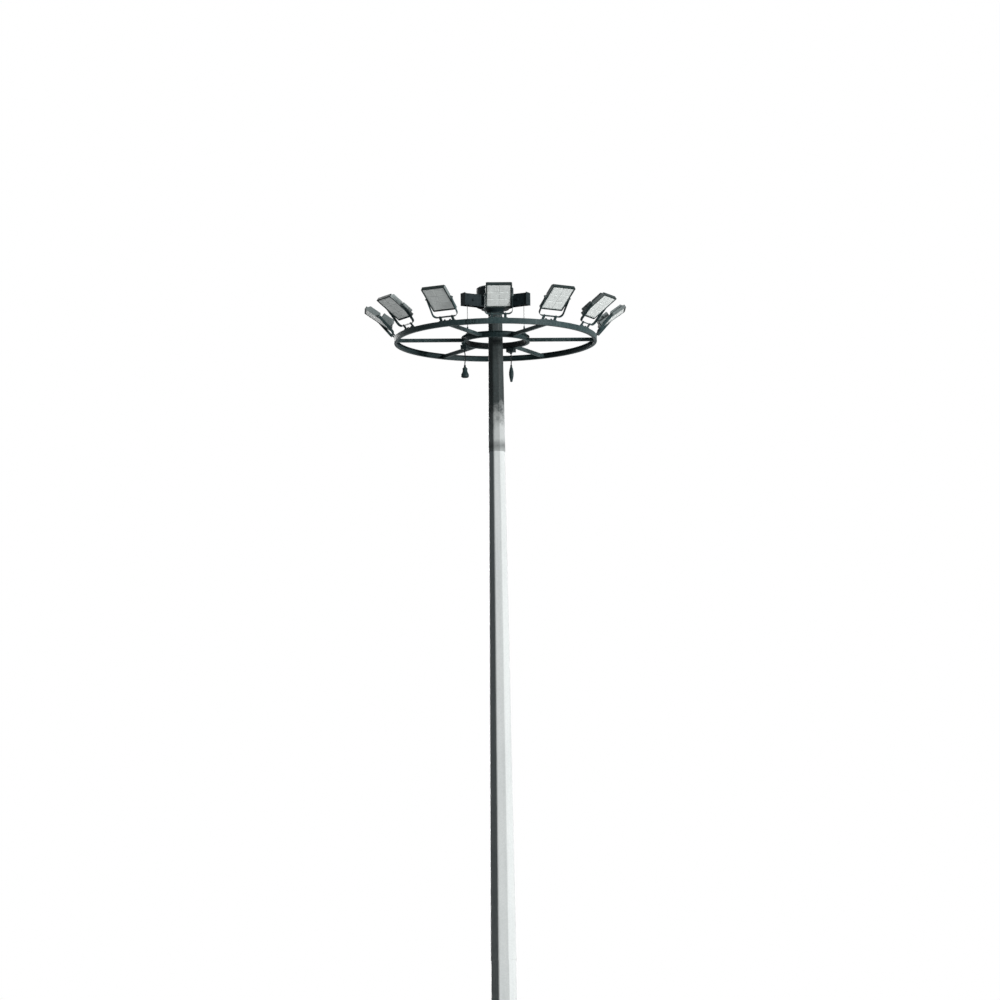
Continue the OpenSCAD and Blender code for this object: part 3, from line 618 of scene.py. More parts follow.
def solid_mesh(node):
    """The node's own shape with its triangles joined into flats."""
    bm = bmesh.new()
    bm.from_mesh(frame["nodes"][node].data)
    for face in bm.faces:
        face.material_index = 0
    bmesh.ops.remove_doubles(bm, verts=bm.verts, dist=MERGE)
    bmesh.ops.dissolve_limit(bm, angle_limit=FLAT_ANGLE, verts=bm.verts, edges=bm.edges)
    return bm


def softened(name, node, slot, width):
    """A piece in the shape of a node, with rounded edges."""
    made = piece(name, solid_mesh(node), frame["nodes"][node]["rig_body"], slot, stands_for=[node])
    rounded_edges(made, width)


def turn(angle, place=(0, 0, 0)):
    """The frame that is turned about the mast's axis and moved within that frame."""
    return Matrix.Rotation(angle, 4, "Z") @ Matrix.Translation(place)


def facing(place, direction):
    """The frame at a place whose Z looks along a direction."""
    return Matrix.Translation(place) @ Vector(direction).to_track_quat("Z", "Y").to_matrix().to_4x4()


def revolve(bm, profile, where, segments=32, coat=0):
    """Spins radius and height pairs about the frame's Z; a radius of nought closes an end."""
    rows = []
    for radius, height in profile:
        if radius <= 0:
            rows.append([bm.verts.new(where @ Vector((0, 0, height)))])
            continue
        rows.append([
            bm.verts.new(where @ Vector((
                radius * math.cos(2 * math.pi * k / segments), radius * math.sin(2 * math.pi * k / segments),
                height)))
            for k in range(segments)])
    for low, high in zip(rows, rows[1:]):
        for k in range(segments):
            n = (k + 1) % segments
            ring = [low[k % len(low)], low[n % len(low)], high[n % len(high)], high[k % len(high)]]
            corners = list(dict.fromkeys(ring))
            if len(corners) > 2:
                bm.faces.new(corners).material_index = coat


def bolt(bm, where, across, washer=True):
    """A hexagon bolt head on its washer, standing along the frame's Z."""
    r = across / 2 / math.cos(math.pi / 6)
    base = 0.0
    if washer:
        base = 0.14 * across
        rim = 0.98 * across
        revolve(bm, [(0, 0), (rim, 0), (rim, 0.8 * base), (0.93 * across, base), (0, base)], where, 24)
    head = 0.62 * across
    revolve(bm, [(0, base), (r, base), (r, base + 0.86 * head), (0.86 * r, base + head), (0, base + head)],
            where, 6)


def stud(bm, where, across):
    """A hexagon nut with its stud's end standing out of it."""
    bolt(bm, where, across)
    end = 0.31 * across
    revolve(bm, [(end, 0.7 * across), (end, 1.0 * across), (0.75 * end, 1.1 * across), (0, 1.1 * across)],
            where, 16)


def screw(bm, where, across):
    """A low pan-head screw with a drive recess."""
    r = across * 0.85
    slot = 0.28 * across
    revolve(bm, [(r, 0), (r, 0.12 * across), (0.9 * r, 0.3 * across), (0.55 * r, 0.42 * across),
                 (slot, 0.44 * across), (slot, 0.2 * across), (0, 0.2 * across)], where, 14)


def block(bm, where, size):
    """A box of a size, centred on the frame."""
    bmesh.ops.create_cube(bm, size=1.0, matrix=where @ Matrix.Diagonal((*size, 1.0)))


def loft(bm, rings, closed=True, ends=False):
    """Joins rows of points into a skin."""
    rows = [[bm.verts.new(p) for p in ring] for ring in rings]
    count = len(rows[0])
    for low, high in zip(rows, rows[1:]):
        for k in range(count if closed else count - 1):
            n = (k + 1) % count
            bm.faces.new((low[k], low[n], high[n], high[k]))
    if ends:
        bm.faces.new(list(reversed(rows[0])))
        bm.faces.new(rows[-1])


def shaft_width(z, steps):
    """Width across the flats at a height, after a number of laps."""
    return SHAFT_FOOT_WIDTH - SHAFT_TAPER * z + LAP_STEP * steps


def shaft_ring(width, z, bend):
    """Points around the shaft at a height, with the press-brake bends rounded."""
    half = math.pi / SHAFT_SIDES
    reach = (width / 2 - bend) / math.cos(half)
    points = []
    for k in range(SHAFT_SIDES):
        mid = (2 * k + 1) * half
        for step in range(5):
            a = mid + half * (step - 2) / 2
            points.append(Vector((
                reach * math.cos(mid) + bend * math.cos(a), reach * math.sin(mid) + bend * math.sin(a), z)))
    return points


def flood_frames():
    """Each flood's body, turn and frame at rest: X along the beam, Y along the trunnions."""
    found = []
    for joint in frame["joints"]:
        if not joint["child"].startswith("flood_"):
            continue
        pivot = Vector(joint["pos_m"])
        turned = math.atan2(pivot.y, pivot.x)
        lean = Matrix.Rotation(turned, 4, "Z") @ Matrix.Rotation(FLOOD_LEAN, 4, "Y")
        found.append((joint["child"], turned, Matrix.Translation(pivot) @ lean))
    if not found:
        raise RuntimeError("the packed model has no tilting floods")
    return found


def top_of(node):
    """The frame at the middle of a node's upper end."""
    low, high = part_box(node)
    return Matrix.Translation(((low.x + high.x) / 2, (low.y + high.y) / 2, high.z))


def route_points(route, angle):
    """A lead's route under its gland, in metres."""
    return [turn(angle) @ Vector((ROPE_R + x / 1000, 0, GLAND_Z + z / 1000)) for x, z in route]


class MAST_OT_stage(bpy.types.Operator):
    """Sets the camera, the light and the floor"""

    bl_idname = "mast.stage"
    bl_label = "Stage"

    def execute(self, context):
        scene = context.scene
        stage = scene.mast_stage
        scene.view_settings.view_transform = "Standard"
        self.camera(scene, stage)
        self.lights(scene, stage)
        self.backdrop(scene, stage)
        self.floor(scene)
        return {"FINISHED"}

    def camera(self, scene, stage):
        lens = bpy.data.cameras.new("Camera")
        lens.sensor_width = SENSOR
        lens.lens = SENSOR * stage.distance / (PICTURE * stage.pixel)
        lens.clip_end = 1000.0
        camera = bpy.data.objects.new("Camera", lens)
        scene.collection.objects.link(camera)
        hub = Vector((0, 0, RING_Z))
        back = Vector((
            math.sin(stage.azimuth) * math.cos(stage.climb), -math.cos(stage.azimuth) * math.cos(stage.climb),
            -math.sin(stage.climb)))
        camera.location = hub + back * stage.distance
        right = UP.cross(back).normalized()
        above = back.cross(right)
        across, down = ((PICTURE / 2 - place) * stage.pixel for place in HUB_PIXEL)
        aim = hub + right * across - above * down
        look = (aim - camera.location).normalized()
        camera.rotation_mode = "QUATERNION"
        camera.rotation_quaternion = look.to_track_quat("-Z", "Y") @ Matrix.Rotation(
            -stage.roll, 3, "Z").to_quaternion()
        scene.camera = camera

    def lights(self, scene, stage):
        side = stage.key_azimuth
        self.sun(scene, "Key", stage.key, spread=14, azimuth=side, height=stage.key_height)
        self.sun(scene, "Bounce", stage.bounce, spread=40, azimuth=side, height=math.radians(-78))
        self.sun(scene, "Back", stage.back, spread=30, azimuth=math.radians(195), height=math.radians(20))

    def backdrop(self, scene, stage):
        """A surround that is seen as white and lights the tower only a little."""
        w = Wiring(bpy.data.worlds.new("Studio"))
        seen, mirrored, through = (
            w.node("ShaderNodeLightPath", output=ray)
            for ray in ("Is Camera Ray", "Is Glossy Ray", "Is Transmission Ray"))
        soft = w.node("ShaderNodeBackground", None, {"Color": (*FILL_TINT, 1.0), "Strength": stage.fill})
        white = w.node("ShaderNodeBackground", None, {"Color": (*WHITE, 1.0), "Strength": 1.0})
        mixed = w.node("ShaderNodeMixShader", None, {0: seen.most(mirrored).most(through), 1: soft, 2: white})
        w.node("ShaderNodeOutputWorld", None, {"Surface": mixed})
        scene.world = w.owner

    def sun(self, scene, name, strength, spread, azimuth, height):
        lamp = bpy.data.lights.new(name, "SUN")
        lamp.energy = strength
        lamp.angle = math.radians(spread)
        lamp.color = LAMP_TINT
        made = bpy.data.objects.new(name, lamp)
        scene.collection.objects.link(made)
        towards = Vector((
            math.sin(azimuth) * math.cos(height), -math.cos(azimuth) * math.cos(height), math.sin(height)))
        made.rotation_mode = "QUATERNION"
        made.rotation_quaternion = towards.to_track_quat("Z", "Y")

    def floor(self, scene):
        """A pale disc that keeps the tower's shadow and fades to white at its edge."""
        bm = bmesh.new()
        revolve(bm, [(0, 0), *((r, 0) for r in FLOOR_RINGS)], Matrix.Translation((0, 0, FLOOR_Z)), 96)
        mesh = bpy.data.meshes.new("Floor")
        bm.to_mesh(mesh)
        bm.free()
        f = Finish("pale_floor")
        seen = f.node("ShaderNodeLightPath", output="Is Camera Ray")
        reach = f.node("ShaderNodeVectorMath", {"operation": "LENGTH"}, {0: f.place}, output="Value")
        far = f.band(reach, FADE_FROM, FADE_TO)
        cloud = f.noise(0.8, 4.0)
        pale = f.mix(far, f.mix(cloud, shade(WHITE, 0.50), shade(WHITE, 0.53)), BLACK)
        glow = f.mix(far, f.mix(cloud, shade(WHITE, 0.42), shade(WHITE, 0.44)), WHITE)
        mesh.materials.append(f.surface(
            Base_Color=f.mix(seen, shade(WHITE, 0.12), pale), Roughness=0.8, Specular_IOR_Level=0.0,
            Emission_Color=f.mix(seen, BLACK, glow), Emission_Strength=1.0))
        floor = bpy.data.objects.new("Floor", mesh)
        floor.visible_shadow = False
        scene.collection.objects.link(floor)


class MAST_OT_leads(bpy.types.Operator):
    """Hangs the supply lead and the test lead with their plugs"""

    bl_idname = "mast.leads"
    bl_label = "Hanging leads"

    def execute(self, context):
        bell = self.bell_plug()
        spindle = self.spindle_coupler()
        self.lead("supply_lead_cable", "supply_lead", SUPPLY_ROUTE, SUPPLY_ANGLE, bell)
        self.lead("test_lead_cable", "test_lead", TEST_ROUTE, TEST_ANGLE, spindle)
        return {"FINISHED"}

    def lead(self, name, node, route, angle, plug):
        points = route_points(route, angle)
        curve = bpy.data.curves.new(name, "CURVE")
        curve.dimensions = "3D"
        curve.bevel_depth = LEAD_D / 2
        curve.bevel_resolution = 6
        curve.use_fill_caps = True
        line = curve.splines.new("BEZIER")
        line.bezier_points.add(len(points) - 1)
        for knot, point in zip(line.bezier_points, points):
            knot.co = point
            knot.handle_left_type = knot.handle_right_type = "AUTO"
        curve.materials.append(finish("black_rubber"))
        cable = bpy.data.objects.new(name, curve)
        bpy.context.scene.collection.objects.link(cable)
        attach(cable, "carriage")
        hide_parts(node)

    def neck(self, pitch, groove):
        """The ribbed strain relief at a plug's top, as radius and height."""
        outline = [(0, 0), (0.0105, 0), (0.0125, -0.002)]
        for k in range(4):
            z = -0.004 - pitch * k
            outline += [(0.0155, z), (0.0155, z - 0.003), (0.0135, z - 0.004), (0.0135, z - groove)]
        return outline

    def grips(self, bm, where, count, place, size):
        for k in range(count):
            block(bm, where @ turn(2 * math.pi * k / count, place), size)

    def plug(self, name, node, bm, finishes):
        bmesh.ops.recalc_face_normals(bm, faces=bm.faces)
        return rounded_edges(piece(name, bm, "carriage", "black_plastic", finishes, [node]), 0.0008)

    def bell_plug(self):
        where = top_of("supply_plug")
        bm = bmesh.new()
        revolve(bm, self.neck(0.006, 0.0055) + BELL_OUTLINE, where, 48)
        pin = [(0.005, 0), (0.005, -0.018), (0.0042, -0.0195), (0, -0.0195)]
        for k in range(5):
            spot = turn(2 * math.pi * k / 5) @ Vector((0.021, 0, -0.163))
            revolve(bm, pin, where @ Matrix.Translation(spot), 12, 1)
        self.grips(bm, where, 12, (0.0362, 0, -0.0615), (0.0030, 0.0055, 0.0150))
        return self.plug("supply_plug_bell", "supply_plug", bm, ["black_plastic", "rope_steel"])

    def spindle_coupler(self):
        where = top_of("test_coupler")
        bm = bmesh.new()
        revolve(bm, self.neck(0.0065, 0.0058) + SPINDLE_OUTLINE, where, 40)
        self.grips(bm, where, 10, (0.0345, 0, -0.1337), (0.0020, 0.0060, 0.0140))
        return self.plug("test_coupler_spindle", "test_coupler", bm, ["black_plastic"])


class MAST_OT_shaft(bpy.types.Operator):
    """Rolls the shaft's three sections with their bends, seams and slip joints"""

    bl_idname = "mast.shaft"
    bl_label = "Shaft"

    def execute(self, context):
        for node in LAP_STEPS:
            self.section(node)
        self.seams()
        return {"FINISHED"}

    def section(self, node):
        bm = solid_mesh(node)
        bend = sizes().bend_radius * math.tan(math.pi / SHAFT_SIDES)
        long = [e for e in bm.edges if abs((e.verts[0].co - e.verts[1].co).z) > 1.0]
        bmesh.ops.bevel(bm, geom=long, offset=bend, segments=5, profile=0.5, affect="EDGES")
        made = piece(node + "_plate", bm, "mast", "galvanised_steel", stands_for=[node])
        rounded_edges(made, sizes().plate_edge)

    def seams(self):
        """Runs the long weld up each section and the ring weld around the shaft's foot."""
        bead = sizes().seam
        bm = bmesh.new()
        for node, steps in LAP_STEPS.items():
            low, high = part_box(node)
            rings = []
            for k in range(SEAM_STEPS + 1):
                z = low.z + (high.z - low.z) * k / SEAM_STEPS
                y = shaft_width(z, steps) / 2 - SEAM_SINK
                rise = 0.45 * bead * (1 + 0.12 * math.sin(2.4 * k))
                rings.append([
                    Vector((SEAM_X + bead * math.cos(a), y + rise * math.sin(a), z))
                    for a in (math.pi * s / 6 for s in range(7))])
            loft(bm, rings, closed=False)
        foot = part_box("base_flange")[1].z
        loft(bm, [
            shaft_ring(shaft_width(foot, 0) + wider, foot + up, bend)
            for wider, up, bend in ((0.026, 0, 0.046), (0.014, 0.006, 0.042), (-0.001, 0.016, 0.036))])
        bmesh.ops.recalc_face_normals(bm, faces=bm.faces)
        piece("shaft_welds", bm, "mast", "galvanised_steel")


class MAST_OT_base(bpy.types.Operator):
    """Builds the base flange, its gussets and the earthing stud"""

    bl_idname = "mast.base"
    bl_label = "Base"

    def execute(self, context):
        softened("base_flange_plate", "base_flange", "galvanised_steel", 0.003)
        softened("base_gusset_plates", "base_gussets", "galvanised_steel", 0.002)
        self.gusset_welds()
        self.earthing()
        return {"FINISHED"}

    def gusset_welds(self):
        low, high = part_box("base_gussets")
        root = shaft_width(low.z, 0) / 2

        def along_flange(share):
            return Vector((root + (high.x - root - 0.004) * share, 0, low.z))

        def up_shaft(share):
            z = low.z + 0.01 + (high.z - low.z - 0.014) * share
            return Vector((shaft_width(z, 0) / 2, 0, z))

        bm = bmesh.new()
        for k in range(SHAFT_SIDES):
            where = turn(2 * math.pi * k / SHAFT_SIDES)
            for side in (-1, 1):
                self.fillet(bm, where, side, along_flange, UP)
                self.fillet(bm, where, side, up_shaft, OUTWARD)
        bmesh.ops.recalc_face_normals(bm, faces=bm.faces)
        piece("gusset_welds", bm, "mast", "galvanised_steel")

    def fillet(self, bm, where, side, path, rise):
        """Lays a weld along a path beside a gusset, standing up along rise."""
        rings = []
        for step in range(WELD_STEPS + 1):
            leg = WELD_LEG * (1 + 0.1 * math.sin(3.1 * step))
            root = path(step / WELD_STEPS)
            rings.append([
                where @ (root + Vector((0, side * (GUSSET_SIDE + leg * out), 0)) + rise * (leg * up))
                for out, up in ((0, 1.0), (0.45, 0.5), (1.0, 0))])
        loft(bm, rings, closed=False)

    def earthing(self):
        bm = bmesh.new()
        spot = (shaft_width(EARTH_Z, 0) / 2, 0, EARTH_Z)
        where = turn(math.radians(135), spot) @ facing((0, 0, 0), OUTWARD)
        revolve(bm, [(0.030, -0.004), (0.030, 0.018), (0.027, 0.021), (0, 0.021)], where, 32)
        stud(bm, where @ Matrix.Translation((0, 0, 0.021)), 0.024)
        rounded_edges(piece("earthing_stud", bm, "mast", "galvanised_steel"), sizes().plate_edge)


class MAST_OT_door(bpy.types.Operator):
    """Fits the door's frame, leaf, hinges and locks"""

    bl_idname = "mast.door"
    bl_label = "Door"

    def execute(self, context):
        softened("door_frame_bar", "door_frame", "galvanised_steel", 0.002)
        softened("door_leaf_plate", "door_leaf", "galvanised_steel", 0.0018)
        low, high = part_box("door_leaf")
        lean = math.atan(SHAFT_TAPER / 2)
        mid = Vector((0, (low.y + high.y) / 2, (low.z + high.z) / 2))
        where = Matrix.Translation(mid) @ Matrix.Rotation(-lean, 4, "X")
        half_w, half_h = (high.x - low.x) / 2, (high.z - low.z) / 2
        bm = bmesh.new()
        for side in (-1, 1):
            self.hinge(bm, where @ Matrix.Translation((-half_w, DOOR_FACE, side * HINGE_SHARE * half_h)))
            spot = (half_w - LOCK_INSET, DOOR_FACE, side * LOCK_SHARE * half_h)
            lock = where @ facing(spot, FRONT)
            revolve(bm, LOCK_ROSE, lock, 32)
            revolve(bm, LOCK_KEY, lock, 3)
        bmesh.ops.recalc_face_normals(bm, faces=bm.faces)
        rounded_edges(piece("door_fittings", bm, "mast", "galvanised_steel"), 0.0006)
        return {"FINISHED"}

    def hinge(self, bm, where):
        """Knuckles, leaf and screws of a hinge, from a frame on the edge of the door's face."""
        for part in (-1, 0, 1):
            revolve(bm, KNUCKLE, where @ Matrix.Translation((-0.004, 0.001, KNUCKLE_STEP * part)), 20)
        block(bm, where @ Matrix.Translation((0.018, -HINGE_LEAF[1] / 2, 0)), HINGE_LEAF)
        for z in (-0.022, 0.022):
            screw(bm, where @ facing((0.024, -HINGE_LEAF[1], z), FRONT), 0.009)


class MAST_OT_head(bpy.types.Operator):
    """Builds the mast head: pedestal, hood, sheave boxes and sheaves"""

    bl_idname = "mast.head"
    bl_label = "Mast head"

    def execute(self, context):
        softened("head_pedestal_casting", "head_pedestal", "black_paint", sizes().plate_edge)
        softened("head_hood_shell", "head_hood", "black_paint", 0.0012)
        softened("sheave_box_plates", "sheave_boxes", "black_paint", sizes().plate_edge)
        softened("rope_sheave_wheels", "rope_sheaves", "rope_steel", 0.0012)
        self.fittings()
        return {"FINISHED"}

    def fittings(self):
        hood_low, hood_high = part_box("head_hood")
        radius = hood_high.x
        bm = bmesh.new()
        lip = [(radius + LIP_R * math.cos(a), hood_low.z + LIP_R + LIP_R * math.sin(a))
               for a in (2 * math.pi * k / 12 for k in range(12))]
        for angle in ROPE_ANGLES:
            rows = []
            for k in range(LIP_STEPS + 1):
                spot = turn(angle + LIP_FROM + LIP_SWEEP * k / LIP_STEPS)
                rows.append([spot @ Vector((r, 0, z)) for r, z in lip])
                if k % 5 == 1:
                    seat = (radius - 0.0008, 0, hood_low.z + RIVET_RISE)
                    revolve(bm, RIVET, spot @ facing(seat, OUTWARD), 14)
            loft(bm, rows, ends=True)
        bolt(bm, Matrix.Translation((0, 0, hood_high.z - 0.02)), 0.022)
        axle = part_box("suspension_ropes")[1].z
        for angle in ROPE_ANGLES:
            place = turn(angle)
            for side in (-1, 1):
                cap = place @ facing((SHEAVE_R, side * AXLE_END, axle), (0, side, 0))
                revolve(bm, [(0.024, -0.008), (0.024, -0.0045), (0, -0.0045)], cap, 24)
                bolt(bm, cap @ Matrix.Translation((0, 0, -0.0045)), 0.030, False)
                for x in BOX_SCREWS_X:
                    for rise in BOX_SCREWS_RISE:
                        spot = (x, side * SHEAVE_BOX_SIDE, axle + rise)
                        screw(bm, place @ facing(spot, (0, side, 0)), 0.012)
        bmesh.ops.recalc_face_normals(bm, faces=bm.faces)
        rounded_edges(piece("head_fittings", bm, "mast", "black_paint"), 0.0006)


class MAST_OT_ropes(bpy.types.Operator):
    """Lays the stranded suspension ropes"""

    bl_idname = "mast.ropes"
    bl_label = "Suspension ropes"

    def execute(self, context):
        low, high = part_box("suspension_ropes")
        core = ROPE_RADIUS - STRAND_R
        bm = bmesh.new()
        for angle in ROPE_ANGLES:
            centre = turn(angle) @ Vector((ROPE_R, 0, 0))
            for s in range(STRANDS):
                rings = []
                for k in range(ROPE_STEPS + 1):
                    z = low.z + (high.z - low.z) * k / ROPE_STEPS
                    a = 2 * math.pi * (s / STRANDS + (z - low.z) / ROPE_LAY)
                    mid = centre + Vector((core * math.cos(a), core * math.sin(a), z))
                    rings.append([
                        mid + Vector((STRAND_R * math.cos(b), STRAND_R * math.sin(b), 0))
                        for b in (2 * math.pi * q / 6 for q in range(6))])
                loft(bm, rings, ends=True)
        bmesh.ops.recalc_face_normals(bm, faces=bm.faces)
        ropes = piece("suspension_rope_strands", bm, None, "rope_steel", stands_for=["suspension_ropes"])
        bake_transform(ropes)
        return {"FINISHED"}


class MAST_OT_carriage(bpy.types.Operator):
    """Builds the carriage's rings, spokes, fender and rope anchors"""

    bl_idname = "mast.carriage"
    bl_label = "Carriage"

    def execute(self, context):
        edge = sizes().plate_edge
        softened("carrier_ring_channel", "carrier_ring", "slate_paint", edge)
        softened("guide_ring_channel", "guide_ring", "slate_paint", edge)
        softened("spoke_tubes", "spokes", "slate_paint", 0.003)
        softened("rope_anchor_sockets", "rope_anchors", "slate_paint", edge)
        self.fender()
        self.splices()
        self.spoke_welds()
        return {"FINISHED"}

    def fender(self):
        low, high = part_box("guide_fender")
        outer = high.x
        inner = outer - FENDER_T
        mid = (low.z + high.z) / 2
        profile = [(outer, low.z), (inner + FENDER_CORNER, low.z),
                   (inner + FENDER_CHAMFER, low.z + FENDER_CHAMFER), (inner, low.z + FENDER_CORNER)]
        for groove in (mid - GROOVE_OFF, mid + GROOVE_OFF):
            profile += [(inner, groove - GROOVE_MOUTH), (inner + GROOVE_DEPTH, groove - GROOVE_FLOOR),
                        (inner + GROOVE_DEPTH, groove + GROOVE_FLOOR), (inner, groove + GROOVE_MOUTH)]
        profile += [(inner, high.z - FENDER_CORNER), (inner + FENDER_CHAMFER, high.z - FENDER_CHAMFER),
                    (inner + FENDER_CORNER, high.z), (outer, high.z), (outer, low.z)]
        bm = bmesh.new()
        revolve(bm, profile, Matrix.Identity(4), 120)
        bmesh.ops.remove_doubles(bm, verts=bm.verts, dist=MERGE)
        bmesh.ops.recalc_face_normals(bm, faces=bm.faces)
        made = piece("guide_fender_rubber", bm, "carriage", "black_rubber", stands_for=["guide_fender"])
        rounded_edges(made, 0.0012)

    def splices(self):
        bm = bmesh.new()
        for angle in SPLICE_ANGLES:
            self.splice(bm, angle, 0.65 * sizes().ring_bolt)
        for angle in ROPE_ANGLES:
            for y in (-ANCHOR_BOLT_Y, ANCHOR_BOLT_Y):
                bolt(bm, turn(angle, (ROPE_R, y, ANCHOR_TOP)), ANCHOR_BOLT, False)
                under = turn(angle, (ROPE_R + 0.002, y, GUIDE_TOP - GUIDE_PLATE))
                stud(bm, under @ Matrix.Rotation(math.pi, 4, "X"), ANCHOR_BOLT)
        bmesh.ops.recalc_face_normals(bm, faces=bm.faces)
        rounded_edges(piece("carriage_splices", bm, "carriage", "slate_paint"), 0.0008)

    def splice(self, bm, angle, across):
        """A bolted plate over a joint between two lengths of the carrier ring."""
        face = RING_R + SPLICE_PLATE
        corners = [(RING_R - SEAT_GAP, -SPLICE_H / 2), (face, -SPLICE_H / 2), (face, SPLICE_H / 2),
                   (RING_R - SEAT_GAP, SPLICE_H / 2)]
        rings = []
        for step in range(13):
            spot = turn(angle + SPLICE_HALF * (step / 6 - 1) / RING_R)
            rings.append([spot @ Vector((r, 0, RING_Z + z)) for r, z in corners])
        loft(bm, rings, ends=True)
        for along in SPLICE_BOLTS:
            spot = turn(angle + along / RING_R)
            for z in (RING_Z - SPLICE_BOLT_RISE, RING_Z + SPLICE_BOLT_RISE):
                bolt(bm, spot @ facing((face, 0, z), OUTWARD), across)
                stud(bm, spot @ facing((RING_R - RING_PLATE, 0, z), -OUTWARD), across)

    def spoke_welds(self):
        low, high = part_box("spokes")
        half_w, half_h = SPOKE_W / 2, (high.z - low.z) / 2
        bm = bmesh.new()
        for angle in SPOKE_ANGLES:
            place = turn(angle)
            for x, step in ((SPOKE_INNER, 1), (SPOKE_OUTER, -1)):
                rings = []
                for grow, off in ((0.007, 0.0), (0.0035, 0.003), (-0.0005, 0.008)):
                    w, h = half_w + grow, half_h + grow
                    rings.append([
                        place @ Vector((x + step * off, sx * w, RING_Z + sz * h))
                        for sx, sz in ((-1, -1), (0, -1), (1, -1), (1, 0), (1, 1), (0, 1), (-1, 1), (-1, 0))])
                loft(bm, rings)
        bmesh.ops.recalc_face_normals(bm, faces=bm.faces)
        rounded_edges(piece("spoke_welds", bm, "carriage", "slate_paint"), 0.0012)


class MAST_OT_mounts(bpy.types.Operator):
    """Builds the floods' brackets and yokes with their bolts"""

    bl_idname = "mast.mounts"
    bl_label = "Flood mounts"

    def execute(self, context):
        softened("flood_bracket_plates", "flood_brackets", "slate_paint", sizes().plate_edge)
        softened("flood_yoke_straps", "flood_yokes", "slate_paint", 0.0012)
        across = sizes().ring_bolt
        bm = bmesh.new()
        for _, turned, where in flood_frames():
            for y in (-FOOT_BOLT_Y, FOOT_BOLT_Y):
                bolt(bm, turn(turned, (FOOT_R, y, FOOT_TOP)), across)
                under = turn(turned, (FOOT_R + 0.002, y, RING_TOP - RING_PLATE))
                stud(bm, under @ Matrix.Rotation(math.pi, 4, "X"), 0.8 * across)
            yoke = where @ Matrix.Rotation(YOKE_LEAN - FLOOD_LEAN, 4, "Y")
            for y in (-YOKE_BOLT_Y, YOKE_BOLT_Y):
                bolt(bm, yoke @ Matrix.Translation((0, y, -YOKE_DROP)), YOKE_BOLT)
        bmesh.ops.recalc_face_normals(bm, faces=bm.faces)
        rounded_edges(piece("flood_mount_bolts", bm, "carriage", "slate_paint"), 0.0008)
        return {"FINISHED"}


class MAST_OT_floods(bpy.types.Operator):
    """Dresses the floods: housings, lenses, screws and glands"""

    bl_idname = "mast.floods"
    bl_label = "Floods"

    def execute(self, context):
        for body, _, where in flood_frames():
            self.housing(body, where)
            self.optic(body)
            self.lenses(body, where)
            self.screws(body, where)
        return {"FINISHED"}

    def housing(self, body, where):
        node = body + "_housing"
        bm = solid_mesh(node)
        beam = where.to_3x3().col[0]
        along = where.to_3x3().col[2]
        home = where.inverted()
        bm.normal_update()
        for face in bm.faces:
            spot = home @ face.calc_center_median()
            front = face.normal.dot(beam) > 0.9 and spot.x > RIM_X - 0.001
            tray_end = abs(spot.z) > FLOOD_LEN / 2 - 0.03 and spot.x > TRAY_BACK - 0.001
            if front or tray_end and abs(face.normal.dot(along)) > 0.35:
                face.material_index = 1
        made = piece(body + "_casting", bm, body, "cast_aluminium", ["cast_aluminium", "dark_bezel"], [node])
        rounded_edges(made, sizes().cast_edge)

    def optic(self, body):
        node = body + "_optic"
        made = piece(body + "_panel", solid_mesh(node), body, "optic_panel", stands_for=[node])
        rounded_edges(made, 0.0012)

    def lenses(self, body, where):
        size = sizes()
        bm = bmesh.new()
        r, rise = size.lens, size.lens_rise
        dome = [(r, 0.0), (0.86 * r, 0.55 * rise), (0.5 * r, 0.9 * rise), (0, rise)]
        for column in range(MODULE_COLUMNS):
            for row in range(MODULE_ROWS):
                y = (column - (MODULE_COLUMNS - 1) / 2) * (MODULE_W + MODULE_STRIP)
                z = (row - (MODULE_ROWS - 1) / 2) * (MODULE_LEN + MODULE_STRIP)
                for i in range(size.lens_columns):
                    for j in range(size.lens_rows):
                        place = (MODULE_X - LENS_SINK,
                                 y + MODULE_W * ((i + 0.5) / size.lens_columns - 0.5),
                                 z + MODULE_LEN * ((j + 0.5) / size.lens_rows - 0.5))
                        revolve(bm, dome, where @ facing(place, OUTWARD), 12)
        piece(body + "_lenses", bm, body, "optic_panel", ["lens_glass"])

    def screws(self, body, where):
        across = sizes().cover_screw
        bm = bmesh.new()
        edge_y, edge_z = (FLOOD_W - RIM_W) / 2, (FLOOD_LEN - RIM_W) / 2
        for z in RIM_SCREWS_Z:
            for side in (-1, 1):
                screw(bm, where @ facing((RIM_X - 0.001, side * edge_y, z), OUTWARD), across)
        for y in RIM_SCREWS_Y:
            for side in (-1, 1):
                screw(bm, where @ facing((RIM_X - 0.001, y, side * edge_z), OUTWARD), across)
        for y in DRIVER_SCREWS_Y:
            for z in DRIVER_SCREWS_Z:
                screw(bm, where @ facing((DRIVER_BACK, y, z), -OUTWARD), 1.2 * across)
        gland = where @ facing(DRIVER_GLAND, FRONT)
        revolve(bm, [(0.015, 0), (0.015, 0.006), (0.0135, 0.007)], gland, 6)
        revolve(bm, [(0.0125, 0.006), (0.0125, 0.012), (0.0105, 0.017), (0.0085, 0.018), (0, 0.018)],
                gland, 24)
        for side in (-1, 1):
            hub = where @ facing((0, side * (YOKE_OUT + 0.0005 + TRUNNION_HEAD), 0), (0, side, 0))
            bolt(bm, hub, YOKE_BOLT, False)
        bmesh.ops.recalc_face_normals(bm, faces=bm.faces)
        rounded_edges(piece(body + "_screws", bm, body, "black_plastic", ["dark_bezel"]), 0.0005)


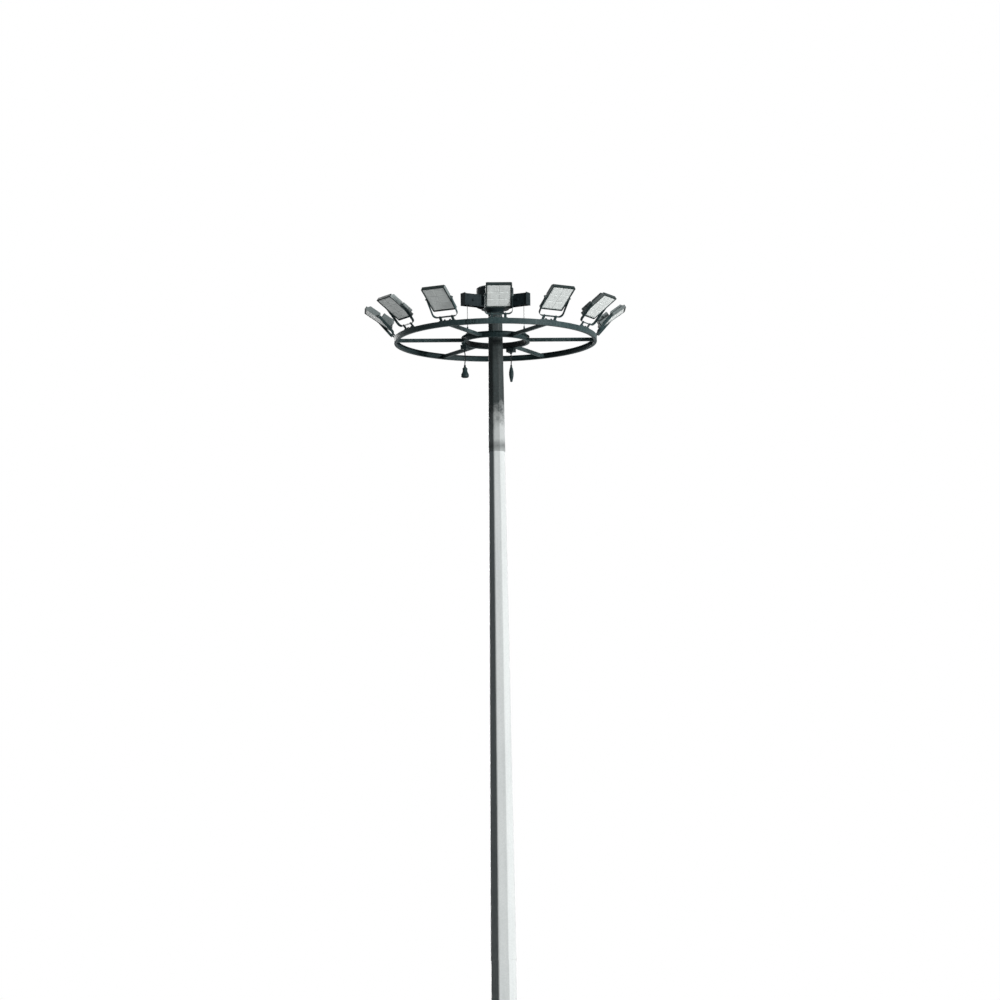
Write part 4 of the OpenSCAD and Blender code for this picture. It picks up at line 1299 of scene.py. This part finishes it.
class MAST_OT_terminals(bpy.types.Operator):
    """Fits the terminal boxes with their lids, screws and glands"""

    bl_idname = "mast.terminals"
    bl_label = "Terminal boxes"

    def execute(self, context):
        softened("terminal_box_shells", "terminal_boxes", "black_plastic", 0.003)
        low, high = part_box("terminal_boxes")
        bm = bmesh.new()
        for angle in (SUPPLY_ANGLE, TEST_ANGLE):
            place = turn(angle, (ROPE_R, 0, 0))
            lid = high.z - LID_DROP
            ring = []
            for sx, sy, start in ((1, 1, 0), (-1, 1, 90), (-1, -1, 180), (1, -1, 270)):
                for step in range(5):
                    a = math.radians(start + 22.5 * step)
                    ring.append((sx * LID_HALF[0] + LID_CORNER * math.cos(a),
                                 sy * LID_HALF[1] + LID_CORNER * math.sin(a)))
            loft(bm, [
                [place @ Vector((x, y, lid + z)) for x, y in ring] for z in (-LID_EDGE, LID_EDGE)], ends=True)
            for x in (-0.037, 0.037):
                for y in (-0.052, 0.052):
                    screw(bm, place @ facing((x, y, high.z - BOX_SCREW_DROP), -UP), 0.008)
            nut = place @ Matrix.Translation((0, 0, GLAND_Z + NUT_RISE)) @ Matrix.Rotation(math.pi, 4, "X")
            revolve(bm, [(0.0205, 0), (0.0205, 0.0075), (0.019, 0.009), (0.0155, 0.009)], nut, 6)
            revolve(bm, [(0.0190, 0.012), (0.0190, 0.019), (0.0165, 0.0235), (0.0125, 0.0246),
                         (0.0085, 0.0246)], nut, 12)
        bmesh.ops.recalc_face_normals(bm, faces=bm.faces)
        rounded_edges(piece("terminal_box_fittings", bm, "carriage", "black_plastic"), 0.0008)
        return {"FINISHED"}


OPERATORS = (
    MAST_OT_stage, MAST_OT_leads, MAST_OT_shaft, MAST_OT_base, MAST_OT_door, MAST_OT_head, MAST_OT_ropes,
    MAST_OT_carriage, MAST_OT_mounts, MAST_OT_floods, MAST_OT_terminals)


class MAST_PT_sidebar(bpy.types.Panel):
    """Lists a button for each of the tower's building steps in the sidebar"""

    bl_idname = "MAST_PT_sidebar"
    bl_label = "High Mast Tower"
    bl_space_type = "VIEW_3D"
    bl_region_type = "UI"
    bl_category = "Mast"

    def draw(self, context):
        column = self.layout.column()
        for step in OPERATORS:
            column.operator(step.bl_idname)


GROUPS = {"mast_colours": MastColours, "mast_sizes": MastSizes, "mast_stage": MastStage}


def register():
    for made in (*GROUPS.values(), *OPERATORS, MAST_PT_sidebar):
        bpy.utils.register_class(made)
    for name, group in GROUPS.items():
        setattr(bpy.types.Scene, name, PointerProperty(type=group))


def unregister():
    for name in GROUPS:
        delattr(bpy.types.Scene, name)
    for made in reversed((*GROUPS.values(), *OPERATORS, MAST_PT_sidebar)):
        bpy.utils.unregister_class(made)


def main():
    register()
    for step in OPERATORS:
        group, name = step.bl_idname.split(".")
        getattr(getattr(bpy.ops, group), name)()


if __name__ == "__main__":
    main()
